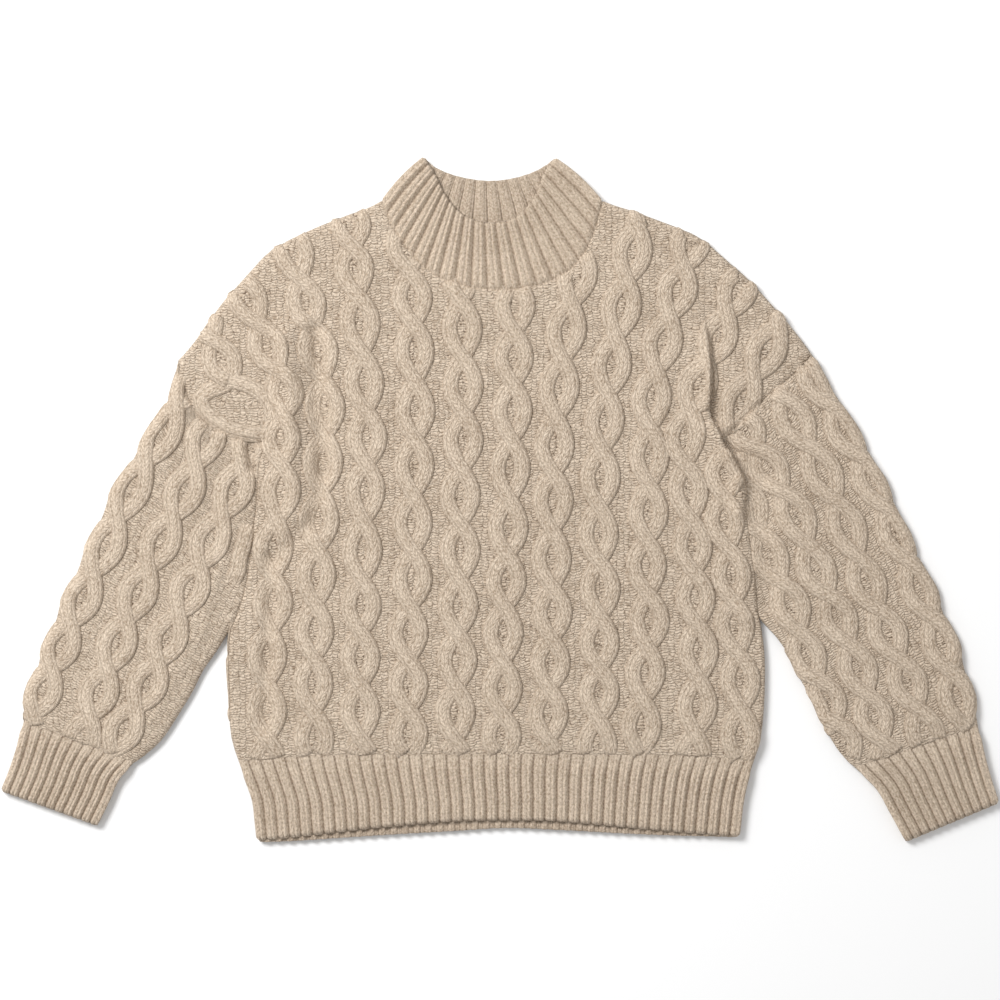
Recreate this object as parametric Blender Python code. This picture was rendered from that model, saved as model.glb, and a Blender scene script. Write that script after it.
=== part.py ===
"""Chunky cable knit sweater with a short ribbed neck, lying flat on its back.

Every piece that a maker would knit is one solid: front, back, two sleeves, two cuffs, hem band
and neckband. The garment lies on the floor (z = 0) with its neck towards +Y. All sizes are in
millimetres: x is measured from the middle line and height up the garment from its lowest corner.
"""

import math

import bmesh
import bpy
from mathutils import Vector

for leftover in list(bpy.data.objects):
    bpy.data.objects.remove(leftover)

MM = 0.001
HALF_HEIGHT = 345.5  # from the lowest corner to the middle of the laid garment

# Thickness of the two layers that lie on each other
BACK_TOP = 5.8  # upper side of the back layer
FRONT_BASE = 6.4  # plain underside of the front layer
GROUND_WALL = 4.0  # knit ground between the cables
EDGE_WALL = 1.3  # what is left of the wall at a folded edge
THINNEST_WALL = 1.1
EDGE_ROLL = 10.0  # width over which the cloth rolls down to a folded edge
SEAM_DIP = 1.4  # how far the cloth sinks beside a seam
SEAM_REACH = 6.0
FLOOR_ROUND = 2.4  # rounding of the lower edge
SAME_PLACE = 1e-6  # in metres, points nearer than this are at the same height
SEAM_GAP = 0.7
SIDE_GAP = 2.0  # between a sleeve and the side that it lies against
FOLD_INSET = 6.0  # from a folded edge to the space between the layers

# Two-strand cables
STRAND_SWING = 8.0  # how far a strand moves sideways from a crossing to an opening
CROSSING_HALF = 12.0  # half the width of a cable at a crossing
TOP_AT_CROSSING = 4.0  # from the middle of a cable to the top of a strand, at a crossing
CABLE_RISE = 6.0
CROSSING_LEAN = 1.3  # the strand on top rises by this, the one below sinks by it
OPENING_RISE = 0.5
BODY_COLUMNS = 5  # on each side of the middle one
ROW_COUNT = 51
UNDERARM_ROW = 35
EDGE_START = 8.0  # from a side to the first inner line of points
LINE_ROOM = 1.6  # each further line keeps at least this much from the one before
NECK_LEVEL = 560.0  # height at which the lines are started when their upper ends are sought
LEVEL_TOP = 557.0  # rows run level towards this height and follow the upper edge only near it

# height, middle column, distance between columns left and right of it
COLUMN_SPREAD = (
    (85, -1, 47.4, 47.4),
    (155, -1, 47.2, 47.8),
    (240, 1, 46.8, 46.4),
    (325, 4, 46.2, 44.0),
    (375, 6, 45.6, 43.9),
    (405, 7, 45.6, 44.6),
    (445, 8, 45.5, 46.2),
    (495, 9, 48.3, 51.6),
    (545, 11, 53.4, 55.2),
    (595, 11, 55.2, 58.6),
    (640, 11, 57.0, 60.0),
)

# Heights at which the middle cable opens, from the hem up
OPENINGS = (10, 60, 112, 157, 210, 265, 318, 377, 435, 488, 540, 593, 645, 698)
DRIFT_LEFT = 1.0  # how much lower each further column opens
DRIFT_RIGHT = 4.7

# height, left side, right side, from the hem seam to the underarm
SIDES = (
    (92, -264, 257),
    (115, -270, 262),
    (145, -270.5, 264.5),
    (185, -272, 265),
    (215, -270, 262),
    (235, -262, 257),
    (265, -254, 254),
    (305, -249, 250),
    (345, -244, 246),
    (375, -242, 242),
    (404, -238, 223),
)

# x and height along the armhole seams, from the underarm to the shoulder
ARMHOLE_LEFT = (
    (-238, 404),
    (-257, 406),
    (-275, 412),
    (-297, 425),
    (-309, 441),
    (-317, 462),
    (-322, 485),
)
ARMHOLE_RIGHT = (
    (223, 404),
    (237, 419),
    (255, 437),
    (271, 451),
    (285, 463),
    (300, 477),
    (312, 491),
)

# x and height along the shoulders, from the armhole to the neck
SHOULDER_LEFT = (
    (-322, 485),
    (-312, 496),
    (-304, 506),
    (-290, 526),
    (-276, 545),
    (-258, 565),
    (-240, 585),
    (-230, 595),
    (-212, 605),
    (-191, 615),
    (-167, 625),
    (-142, 634),
    (-130, 638.5),
    (-118, 645),
)
SHOULDER_RIGHT = (
    (102, 645),
    (112, 641),
    (133, 634.5),
    (159, 625),
    (185, 615),
    (204, 605),
    (216, 595),
    (227, 585),
    (250, 565),
    (268, 545),
    (286, 525),
    (302, 505),
    (312, 491),
)

# x and height along the seam of the neckband, front and back
NECK_FRONT = (
    (-118, 645),
    (-100, 608),
    (-70, 575),
    (-36, 561),
    (0, 557),
    (36, 561),
    (70, 577),
    (90, 606),
    (102, 645),
)
NECK_BACK = (
    (-118, 645),
    (-80, 618),
    (-40, 607),
    (0, 604),
    (36, 607),
    (68, 618),
    (102, 645),
)

# from x and height, to x and height, half width, rise
FRONT_FOLDS = (
    (200, 500, 207, 428, 6, -2.4),
    (207, 428, 224, 400, 7, -2.8),
    (224, 400, 246, 345, 7, -1.0),
    (229, 372, 238, 250, 16, 3.2),
    (226, 460, 262, 500, 20, 2.4),
    (-180, 505, -180, 365, 9, -2.2),
    (-180, 365, -190, 322, 9, -2.0),
    (-190, 322, -230, 272, 10, -2.2),
    (-230, 272, -240, 150, 11, -1.8),
    (-217, 510, -218, 410, 13, 3.0),
    (-205, 330, -262, 180, 9, 1.6),
    (-290, 452, -238, 412, 11, 3.4),
    (120, 600, 160, 470, 26, 1.6),
    (-120, 600, -150, 500, 24, 1.4),
)


def read_between(rows, at, column):
    """One column of a table at a place between its rows, on a smooth curve through them."""
    at = min(max(at, rows[0][0]), rows[-1][0])
    first = 0
    while first < len(rows) - 2 and at > rows[first + 1][0]:
        first += 1
    low, high = rows[first], rows[first + 1]
    before = rows[max(first - 1, 0)]
    after = rows[min(first + 2, len(rows) - 1)]
    span = high[0] - low[0]
    part = (at - low[0]) / span
    slope_low = (high[column] - before[column]) / (high[0] - before[0]) * span
    slope_high = (after[column] - low[column]) / (after[0] - low[0]) * span
    gain = high[column] - low[column]
    bend = (slope_low + slope_high - 2 * gain) * part**3
    turn = (3 * gain - 2 * slope_low - slope_high) * part**2
    return low[column] + slope_low * part + turn + bend


def with_lengths(points):
    """The points of a path as rows of length walked, x and height."""
    rows = [(0.0, *points[0])]
    for point in points[1:]:
        step = math.dist(point, rows[-1][1:])
        rows.append((rows[-1][0] + step, *point))
    return rows


def walk(rows, fraction):
    """The x and height at a fraction of a path's length."""
    length = rows[-1][0] * fraction
    return Vector((read_between(rows, length, 1), read_between(rows, length, 2)))


def distance_to(point, path):
    """How far a place is from a path of straight pieces."""
    nearest = math.inf
    for start, end in zip(path, path[1:]):
        along = end - start
        part = (point - start).dot(along) / along.length_squared
        nearest = min(nearest, (start + along * min(max(part, 0), 1) - point).length)
    return nearest


def sampled(rows, count):
    return [walk(rows, step / count) for step in range(count + 1)]


SIDE_LEFT_PATH = with_lengths([(row[1], row[0]) for row in SIDES])
SIDE_RIGHT_PATH = with_lengths([(row[2], row[0]) for row in SIDES])
ARMHOLE_LEFT_PATH = with_lengths(ARMHOLE_LEFT)
ARMHOLE_RIGHT_PATH = with_lengths(ARMHOLE_RIGHT)
FOLDED_EDGES = (
    sampled(SIDE_LEFT_PATH, 24),
    sampled(SIDE_RIGHT_PATH, 24),
    sampled(with_lengths(SHOULDER_LEFT), 20),
    sampled(with_lengths(SHOULDER_RIGHT), 20),
)
SEAMS = (
    sampled(ARMHOLE_LEFT_PATH, 12),
    sampled(ARMHOLE_RIGHT_PATH, 12),
    sampled(with_lengths(NECK_FRONT), 24),
)


def hem_seam(x):
    """Height of the seam between the panels and the hem band."""
    return 93 - 3 * (x / 260) ** 2


def roll(point, edges, reach=EDGE_ROLL):
    """0 on a folded edge, rising to 1 where the cloth lies flat."""
    nearest = min(distance_to(point, edge) for edge in edges)
    if nearest >= reach:
        return 1.0
    return math.sqrt(1 - (1 - nearest / reach) ** 2)


def seam_nearness(point, seams):
    """1 on a seam, 0 out of its reach."""
    nearest = min(distance_to(point, seam) for seam in seams)
    return max(0.0, 1 - nearest / SEAM_REACH)


def fold_rise(point, folds):
    """Height that the soft folds add at a place."""
    rise = 0.0
    for from_x, from_height, to_x, to_height, half_width, height in folds:
        ridge = [Vector((from_x, from_height)), Vector((to_x, to_height))]
        away = distance_to(point, ridge) / half_width
        rise += height * math.exp(-away * away)
    return rise


def turn_of(column, height):
    """How often the cable has twisted: whole numbers at its openings, halves at its crossings."""
    drift = DRIFT_RIGHT * column if column > 0 else -DRIFT_LEFT * column
    rows = [(opening, number) for number, opening in enumerate(OPENINGS)]
    return read_between(rows, height + drift, 1) + column % 2 / 2


def strand_offset(role, turn):
    """Sideways distance of a line of points from the middle of its cable."""
    swing = abs(math.cos(math.pi * turn))
    if role == "foot":
        return CROSSING_HALF + STRAND_SWING * swing
    if role == "top":
        return TOP_AT_CROSSING + STRAND_SWING * swing
    return 0.0


def strand_rise(role, side, turn):
    """Height of a line of points above the ground."""
    swing = abs(math.cos(math.pi * turn))
    if role == "top":
        return CABLE_RISE + side * CROSSING_LEAN * math.sin(2 * math.pi * turn)
    if role == "middle":
        covered = max(0.0, 1 - (1.5 * swing) ** 2)
        return OPENING_RISE + (CABLE_RISE + 0.6 - OPENING_RISE) * math.sqrt(covered)
    return 0.0


# Lines of one cable from left to right, then the ground before the next: role and side
CABLE_LINES = (("foot", -1), ("top", -1), ("middle", 0), ("top", 1), ("foot", 1))


def column_x(column, height):
    side = 2 if column < 0 else 3
    return read_between(COLUMN_SPREAD, height, 1) + column * read_between(COLUMN_SPREAD, height, side)


def top_height(x, neck):
    """Height of the upper edge of a panel: shoulder, neckline, shoulder."""
    for rows in (SHOULDER_LEFT, neck):
        if x <= rows[-1][0]:
            return read_between(rows, x, 1)
    return read_between(SHOULDER_RIGHT, x, 1)


def side_limit(height, side):
    """The x of the side or, above the underarm, of the armhole seam."""
    column = 1 if side < 0 else 2
    if height <= SIDES[-1][0]:
        return read_between(SIDES, height, column)
    seam = ARMHOLE_LEFT if side < 0 else ARMHOLE_RIGHT
    return read_between([(point[1], point[0]) for point in seam], height, 1)


def body_lines():
    """The lines of the front between its two edges: column, role, side."""
    lines = [(-BODY_COLUMNS - 0.5, "ground", 0)]
    for column in range(-BODY_COLUMNS, BODY_COLUMNS + 1):
        lines += [(column, role, side) for role, side in CABLE_LINES]
        lines.append((column + 0.5, "ground", 0))
    return lines


def line_point(lines, index, height):
    """Where one of the inner lines crosses a height."""
    column, role, side = lines[index]
    x = column_x(column, height)
    if role != "ground":
        x += side * strand_offset(role, turn_of(column, height))
    left = side_limit(height, -1) + EDGE_START + LINE_ROOM * index
    right = side_limit(height, 1) - EDGE_START - LINE_ROOM * (len(lines) - 1 - index)
    return Vector((min(max(x, left), right), height))


def line_top(lines, index, neck):
    """Height at which a line meets the upper edge of its panel."""
    height = top_height(column_x(lines[index][0], NECK_LEVEL), neck)
    for _ in range(12):
        height += 0.5 * (top_height(line_point(lines, index, height).x, neck) - height)
    return height


# Beyond the outermost cable: fractions from the edge to the nearest inner line, and the rise there
EDGE_LINES = ((0.0, 0.0), (0.16, 0.0), (0.42, 4.6), (0.72, 0.6))
EDGE_CABLE_ROOM = 60.0  # width of cloth that this rise needs to stand full


def edge_point(side, row):
    """A point on the side seam or, above the underarm, on the armhole seam."""
    if row <= UNDERARM_ROW:
        path = SIDE_LEFT_PATH if side < 0 else SIDE_RIGHT_PATH
        return walk(path, row / UNDERARM_ROW)
    path = ARMHOLE_LEFT_PATH if side < 0 else ARMHOLE_RIGHT_PATH
    return walk(path, (row - UNDERARM_ROW) / (ROW_COUNT - UNDERARM_ROW))


def front_points():
    """Every point of the front's outer face, as lines of (x, height) with its cable's rise."""
    lines = body_lines()
    inner = []
    for index, (column, role, side) in enumerate(lines):
        x = column_x(column, hem_seam(0))
        start = hem_seam(x)
        end = line_top(lines, index, NECK_FRONT)
        made = []
        for row in range(ROW_COUNT + 1):
            part = row / ROW_COUNT
            height = start + (LEVEL_TOP - start) * part + (end - LEVEL_TOP) * part**5
            rise = 0.0
            if role != "ground":
                rise = strand_rise(role, side, turn_of(column, height))
            made.append((line_point(lines, index, height), rise))
        inner.append(made)
    outer = {}
    for side, near in ((-1, inner[0]), (1, inner[-1])):
        outer[side] = []
        for fraction, cable in EDGE_LINES:
            made = []
            corner = edge_point(side, ROW_COUNT).lerp(near[-1][0], fraction)
            missing = top_height(corner.x, NECK_FRONT) - corner.y
            for row in range(ROW_COUNT + 1):
                edge = edge_point(side, row)
                place = edge.lerp(near[row][0], fraction)
                place.y += missing * (row / ROW_COUNT) ** 6
                spread = min(max((near[row][0] - edge).length / EDGE_CABLE_ROOM - 0.3, 0), 1)
                made.append((place, cable * spread))
            outer[side].append(made)
    return outer[-1] + inner + outer[1][::-1]


def wall_height(point, cable, edges, seams, folds):
    """Height of the outer face over the floor."""
    flat = roll(point, edges)
    seam = seam_nearness(point, seams)
    ground = EDGE_WALL + (GROUND_WALL - EDGE_WALL) * flat - SEAM_DIP * seam
    cable *= (0.25 + 0.75 * flat) * (1 - 0.5 * seam)
    wall = ground + cable + fold_rise(point, folds) * flat * (1 - seam)
    return FRONT_BASE + max(wall, THINNEST_WALL)


def placed(point, z):
    return Vector((point.x, point.y - HALF_HEIGHT, z)) * MM


def lay_sheet(bm, points):
    """A sheet of quads through lines of points that are already placed."""
    lines, rows = len(points), len(points[0])
    made = bmesh.ops.create_grid(bm, x_segments=lines - 1, y_segments=rows - 1, size=1.0)
    for vert in made["verts"]:
        line = round((vert.co.x + 1) / 2 * (lines - 1))
        row = round((vert.co.y + 1) / 2 * (rows - 1))
        vert.co = points[line][row]
    return made["verts"]


def drop_rim(bm, z):
    """Draws the open rim of a sheet straight down to a height, and returns the new rim."""
    rim = [edge for edge in bm.edges if edge.is_boundary]
    made = bmesh.ops.extrude_edge_only(bm, edges=rim)["geom"]
    for vert in made:
        if isinstance(vert, bmesh.types.BMVert):
            vert.co.z = z * MM
    return [edge for edge in made if isinstance(edge, bmesh.types.BMEdge) and edge.is_boundary]


def close_underside(bm, rim):
    """Closes the lowest rim with one plain face."""
    return bmesh.ops.contextual_create(bm, geom=rim)["faces"]


def round_underside(bm, faces, z):
    """Rounds the lower edge: the plain face shrinks and goes down to the floor."""
    bmesh.ops.inset_region(bm, faces=faces, thickness=FLOOR_ROUND * MM, use_even_offset=True)
    for face in faces:
        for vert in face.verts:
            vert.co.z = z * MM


def to_object(bm, name, collection, material=None):
    bmesh.ops.recalc_face_normals(bm, faces=bm.faces)
    mesh = bpy.data.meshes.new(name)
    bm.to_mesh(mesh)
    bm.free()
    made = bpy.data.objects.new(name, mesh)
    collection.objects.link(made)
    if material:
        mesh.materials.append(material)
    else:
        made.hide_render = True
        made.display_type = "WIRE"
    return made


def slab(points, base, rounded):
    """A layer whose outer face goes through the points, with a plain underside."""
    bm = bmesh.new()
    lay_sheet(bm, points)
    if not rounded:
        close_underside(bm, drop_rim(bm, base))
        return bm
    faces = close_underside(bm, drop_rim(bm, base + FLOOR_ROUND))
    round_underside(bm, faces, base)
    return bm


def space_between(name, outline_lines, collection, low=BACK_TOP, high=FRONT_BASE):
    """The thin space between two layers, as a ribbon with a little height."""
    bm = bmesh.new()
    lay_sheet(bm, [[placed(point, low) for point in line] for line in outline_lines])
    made = bmesh.ops.extrude_face_region(bm, geom=bm.faces[:])["geom"]
    raised = [vert for vert in made if isinstance(vert, bmesh.types.BMVert)]
    bmesh.ops.translate(bm, verts=raised, vec=(0, 0, (high - low) * MM))
    return to_object(bm, name, collection)


def combine(target, other, operation):
    modifier = target.modifiers.new(operation.title() + " " + other.name, "BOOLEAN")
    modifier.operation = operation
    modifier.solver = "EXACT"
    modifier.object = other


def new_material(name, colour):
    material = bpy.data.materials.new(name)
    material.use_nodes = True
    shader = material.node_tree.nodes["Principled BSDF"]
    shader.inputs["Base Color"].default_value = (*colour, 1)
    shader.inputs["Roughness"].default_value = 0.9
    return material


WOOL = (0.50, 0.41, 0.32)
garment = bpy.data.collections.new("cable_knit_sweater")
cutters = bpy.data.collections.new("cutters")
bpy.context.scene.collection.children.link(garment)
bpy.context.scene.collection.children.link(cutters)


# Front: eleven cables standing on a plain underside
front_sheet = [
    [placed(point, wall_height(point, cable, FOLDED_EDGES, SEAMS, FRONT_FOLDS)) for point, cable in line]
    for line in front_points()
]
to_object(slab(front_sheet, FRONT_BASE, False), "body_front", garment, new_material("front_knit", WOOL))


# Back: one plain layer under the front, with a higher neckline
BACK_LINES = 22
BACK_ROWS = 22
BACK_UNDERARM_ROW = 16


def back_outline_x(row, side):
    if row <= BACK_UNDERARM_ROW:
        path = SIDE_LEFT_PATH if side < 0 else SIDE_RIGHT_PATH
        return walk(path, row / BACK_UNDERARM_ROW)
    path = ARMHOLE_LEFT_PATH if side < 0 else ARMHOLE_RIGHT_PATH
    return walk(path, (row - BACK_UNDERARM_ROW) / (BACK_ROWS - BACK_UNDERARM_ROW))


def back_outline():
    """The rim of the back panel, walked once round."""
    right = [back_outline_x(row, 1) for row in range(BACK_ROWS + 1)]
    left = [back_outline_x(row, -1) for row in range(BACK_ROWS + 1)]
    top = [point for point in sampled(with_lengths(SHOULDER_RIGHT[::-1]), 12)][1:]
    top += sampled(with_lengths(NECK_BACK[::-1]), 12)[1:]
    top += sampled(with_lengths(SHOULDER_LEFT[::-1]), 12)[1:-1]
    hem = []
    for step in range(1, BACK_LINES):
        x = left[0].x + (right[0].x - left[0].x) * step / BACK_LINES
        hem.append(Vector((x, hem_seam(x))))
    return hem + right + top + left[::-1]


def plain_layer(outline, base, top):
    """A flat layer with a rounded lower edge, from the outline that it has seen from above."""
    bm = bmesh.new()
    corners = [bm.verts.new(placed(point, base + FLOOR_ROUND)) for point in outline]
    lower = bm.faces.new(corners)
    upper = bmesh.ops.extrude_face_region(bm, geom=[lower])["geom"]
    for vert in upper:
        if isinstance(vert, bmesh.types.BMVert):
            vert.co.z = top * MM
    level = (base + FLOOR_ROUND) * MM
    lower = [face for face in bm.faces if all(abs(vert.co.z - level) < SAME_PLACE for vert in face.verts)]
    round_underside(bm, lower, base)
    return bm


to_object(plain_layer(back_outline(), 0, BACK_TOP), "body_back", garment, new_material("back_knit", WOOL))


# Sleeves: tubes laid flat, from the armhole seam to the cuff seam
SLEEVE_ROWS = 32
BOW_REACH = 0.35  # share of a sleeve's length over which the curve of the armhole seam fades
SLEEVE_CABLES = (17, 63, 108, 152)  # from the outer edge to the middle of each cable, at full width
SCALLOP = 2.4  # how far the outermost cable pushes the edge out and in
SCALLOP_REACH = 30.0
SLEEVE_CABLE_SLANT = 8.0  # how much lower the cable's eye is than the edge beside it
FULL_WIDTH = 160  # of a sleeve at its upper end
INNER_BAND = 30.0  # along the inner edge, where the cloth is squeezed as the sleeve narrows
SQUEEZED_BAND = 24.0  # what that band keeps of its width
EDGE_LINE = 2.5  # from the outer edge to the first line of points inside it
NEAREST_LINE = 4.5  # no strand comes nearer to the outer edge
SPACE_STEPS = 12
SPACE_BEYOND = 20.0  # how far the space between the layers is drawn past the solid
SLEEVE_LEFT = {
    "side": -1,
    "outer": (
        (-322, 485),
        (-328, 455),
        (-337, 440),
        (-354, 410),
        (-387, 355),
        (-412.5, 300),
        (-437.5, 245),
        (-457.5, 195),
        (-474, 150),
        (-476.8, 123),
    ),
    "inner": (
        (-238, 404),
        (-242, 375),
        (-244, 345),
        (-249, 305),
        (-254, 265),
        (-262, 235),
        (-270, 217),
        (-283, 195),
        (-297, 175),
        (-307, 155),
        (-319, 135),
        (-339, 105),
        (-358, 88),
        (-367, 82),
    ),
    "armhole": ARMHOLE_LEFT,
    "openings": (20, 66, 112, 156, 202, 249, 303, 356, 409, 463, 517, 571),
    "drift": (0, 0, 4, 8),
    "folds": ((-262, 380, -268, 250, 8, -1.6), (-250, 330, -262, 235, 9, 2.0)),
}
SLEEVE_RIGHT = {
    "side": 1,
    "outer": (
        (312, 491),
        (321, 473),
        (331, 453),
        (345, 437),
        (356.5, 415),
        (383.5, 365),
        (408.5, 310),
        (434, 257),
        (457, 203),
        (473, 152),
        (478.5, 118),
    ),
    "inner": (
        (223, 404),
        (242, 375),
        (246, 345),
        (250, 305),
        (254, 265),
        (257, 235),
        (264, 223),
        (279, 205),
        (292, 185),
        (301, 165),
        (313, 145),
        (322, 125),
        (332, 105),
        (347, 85),
        (356, 77),
    ),
    "armhole": ARMHOLE_RIGHT,
    "openings": (20, 68, 117, 163, 213, 262, 315, 370, 430, 485, 540, 595),
    "drift": (-9, 0, 14, 28),
    "folds": ((232, 412, 262, 372, 9, -2.2), (262, 372, 268, 240, 10, -2.4)),
}


def sleeve_turn(sleeve, cable, height):
    """How often a sleeve cable has twisted, as on the front."""
    rows = [(opening, number) for number, opening in enumerate(sleeve["openings"])]
    return read_between(rows, height - sleeve["drift"][cable], 1)


def sleeve_point(sleeve, fraction, distance):
    """A place a share of the way down the sleeve and a distance in from its outer edge.

    A distance of None stands for the inner edge. The second value is how squeezed the cloth is."""
    outer = walk(sleeve["outer_path"], fraction)
    inner = walk(sleeve["inner_path"], fraction)
    inner.x += sleeve["side"] * SIDE_GAP * min(1, (1 - fraction) * 2.5)
    across = inner - outer
    width = across.length
    across.normalize()
    ends = min(fraction * 12, (1 - fraction) * 12, 1)
    bump = SCALLOP * ends * math.cos(2 * math.pi * sleeve_turn(sleeve, 0, outer.y - SLEEVE_CABLE_SLANT))
    squeeze = 1.0
    if distance is None:
        distance = width
    elif distance > width - INNER_BAND:
        free = width - INNER_BAND
        squeeze = min(1.0, SQUEEZED_BAND / max(FULL_WIDTH - free, 1))
        distance = free + (distance - free) * squeeze
    share = distance / width
    place = outer + across * (distance - bump * max(0.0, 1 - distance / SCALLOP_REACH))
    if fraction < BOW_REACH:
        seam = walk(sleeve["armhole_path"], 1 - share)
        start = walk(sleeve["outer_path"], 0).lerp(walk(sleeve["inner_path"], 0), share)
        away = Vector((sleeve["side"] * 0.7, -0.71)) * SEAM_GAP
        place += (seam + away - start) * (1 - fraction / BOW_REACH) ** 2
    return place, squeeze


def sleeve_lines():
    """The lines of a sleeve's upper face: distance from the outer edge, cable, role, side."""
    lines = [(0, None, "ground", 0), (EDGE_LINE, None, "ground", 0)]
    lines += [(SLEEVE_CABLES[0], 0, role, side) for role, side in CABLE_LINES[1:]]
    for cable in (1, 2):
        middle = (SLEEVE_CABLES[cable - 1] + SLEEVE_CABLES[cable]) / 2
        lines.append((middle, None, "ground", 0))
        lines += [(SLEEVE_CABLES[cable], cable, role, side) for role, side in CABLE_LINES]
    middle = (SLEEVE_CABLES[2] + SLEEVE_CABLES[3]) / 2
    lines.append((middle, None, "ground", 0))
    lines += [(SLEEVE_CABLES[3], 3, role, side) for role, side in CABLE_LINES[:3]]
    lines += [(FULL_WIDTH - 2, None, "ground", 0), (None, None, "ground", 0)]
    return lines


def sleeve_points(sleeve):
    """Every point of a sleeve's upper face with its cable's rise."""
    lines = []
    for distance, cable, role, side in sleeve_lines():
        made = []
        for row in range(SLEEVE_ROWS + 1):
            fraction = row / SLEEVE_ROWS
            place, squeeze = sleeve_point(sleeve, fraction, distance)
            rise = 0.0
            if cable is not None:
                turn = sleeve_turn(sleeve, cable, place.y)
                offset = side * strand_offset(role, turn)
                place, squeeze = sleeve_point(sleeve, fraction, max(distance + offset, NEAREST_LINE))
                rise = strand_rise(role, -side * sleeve["side"], turn) * min(1, squeeze * 1.4)
            made.append((place, rise))
        lines.append(made)
    return lines


def build_sleeve(sleeve, name):
    sleeve["outer_path"] = with_lengths(sleeve["outer"])
    sleeve["inner_path"] = with_lengths(sleeve["inner"])
    sleeve["armhole_path"] = with_lengths(sleeve["armhole"])
    shares = [step / 30 for step in range(31)]
    edges = [[sleeve_point(sleeve, share, distance)[0] for share in shares] for distance in (0, None)]
    ends = []
    for fraction in (0, 1):
        ends.append([sleeve_point(sleeve, fraction, distance)[0] for distance in range(0, FULL_WIDTH, 8)])
    points = sleeve_points(sleeve)
    if sleeve["side"] > 0:
        points.reverse()
    sheet = []
    for line in points:
        heights = [wall_height(spot, rise, edges, ends, sleeve["folds"]) for spot, rise in line]
        sheet.append([placed(spot, z) for (spot, rise), z in zip(line, heights)])
    solid = to_object(slab(sheet, 0, True), name, garment, new_material(name + "_knit", WOOL))
    ribbon = []
    for distance in (0, None):
        line = []
        for step in range(-1, SPACE_STEPS + 2):
            fraction = min(max(step / SPACE_STEPS, 0), 1)
            outer = sleeve_point(sleeve, fraction, 0)[0]
            inner = sleeve_point(sleeve, fraction, None)[0]
            inset = (inner - outer).normalized() * FOLD_INSET
            spot = outer + inset if distance == 0 else inner - inset
            beyond = Vector((-sleeve["side"], 2)).normalized() * SPACE_BEYOND
            if step < 0:
                spot += beyond
            if step > SPACE_STEPS:
                spot -= beyond
            line.append(spot)
        ribbon.append(line)
    space = space_between(name + "_space", ribbon, cutters)
    combine(solid, space, "DIFFERENCE")


build_sleeve(SLEEVE_LEFT, "sleeve_left")
build_sleeve(SLEEVE_RIGHT, "sleeve_right")


# Ribbed bands: cuffs, hem band and neckband
RIB_WALL = 3.4  # in a valley between two ribs
RIB_RISE = 2.2
BAND_ROLL = 7.0  # width over which a band rolls down to its folded sides
LOWER_LAYER_INSET = 0.5
JOINED_BASE = 5.3  # an upper layer reaches down to here where it joins the lower one
SPACE_LOW = 5.0


def between_rows(rows, fraction, column):
    """One column of a short table whose rows are evenly spaced."""
    spaced = [(number / (len(rows) - 1), *row) for number, row in enumerate(rows)]
    return read_between(spaced, fraction, column + 1)


def ribbed_sheet(ribs, rows, spot, edges, seams):
    """The outer face of a band: two lines of points for each rib, raised at every second one."""
    lines = []
    for step in range(2 * ribs + 1):
        line = []
        for row in range(rows + 1):
            place = spot(step / (2 * ribs), row / rows)
            flat = roll(place, edges, BAND_ROLL)
            seam = seam_nearness(place, seams)
            wall = EDGE_WALL + (RIB_WALL - EDGE_WALL) * flat - SEAM_DIP * seam
            wall += RIB_RISE * (step % 2) * (0.4 + 0.6 * flat) * (1 - 0.6 * seam)
            line.append(placed(place, FRONT_BASE + max(wall, THINNEST_WALL)))
        lines.append(line)
    return lines


# outer x and height, inner x and height, from the cuff seam to the open end
CUFF_LEFT = (
    (-476.8, 123, -367, 82),
    (-481.5, 100, -382, 66),
    (-489, 76.5, -391.5, 45),
    (-498, 54, -404, 20),
)
CUFF_RIGHT = (
    (478.5, 118, 356, 77),
    (483, 93, 377, 57),
    (489.5, 68, 391, 33),
    (498, 42, 407, 4),
)
CUFF_RIBS = 11
CUFF_ROWS = 4


def build_cuff(rows, side, name):
    def spot(share, fraction):
        outer = Vector((between_rows(rows, fraction, 0), between_rows(rows, fraction, 1)))
        inner = Vector((between_rows(rows, fraction, 2), between_rows(rows, fraction, 3)))
        away = Vector((side * 0.42, -0.9)) * SEAM_GAP * (1 - fraction)
        share = 1 - share if side > 0 else share
        return outer.lerp(inner, share) + away

    def column(share):
        return [spot(share, fraction / 12) for fraction in range(13)]

    seam = [spot(share / 12, 0) for share in range(13)]
    sheet = ribbed_sheet(CUFF_RIBS, CUFF_ROWS, spot, (column(0), column(1)), (seam,))
    solid = to_object(slab(sheet, 0, True), name, garment, new_material(name + "_knit", WOOL))
    ribbon = []
    for share in (0, 1):
        line = column(share)
        inset = (column(1 - share)[6] - line[6]).normalized() * FOLD_INSET
        line = [point + inset for point in line[::4]]
        line.insert(0, line[0] + Vector((-side * 8, 16)))
        line.append(line[-1] + Vector((side * 8, -16)))
        ribbon.append(line)
    space = space_between(name + "_space", ribbon, cutters)
    combine(solid, space, "DIFFERENCE")


build_cuff(CUFF_LEFT, -1, "cuff_left")
build_cuff(CUFF_RIGHT, 1, "cuff_right")


# height, left side, right side of the hem band
HEM_SIDES = (
    (2, -242, 238),
    (25, -244.5, 240.5),
    (45, -247, 243),
    (65, -254, 247.5),
    (80, -260, 252.5),
    (92, -264, 257),
)
# x, height of the front's lower edge and of the back's
HEM_EDGE = (
    (-243, 5.5, 3),
    (-214, 8, 4),
    (-120, 18, 10),
    (-48, 24, 14),
    (5, 25, 17),
    (60, 24, 15),
    (150, 16, 10.5),
    (240, 9, 8),
)
HEM_RIBS = 42
HEM_ROWS = 3
HEM_LEFT = -250.0  # where its left side is taken to be when a height is read
HEM_WIDTH = 495.0


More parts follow.
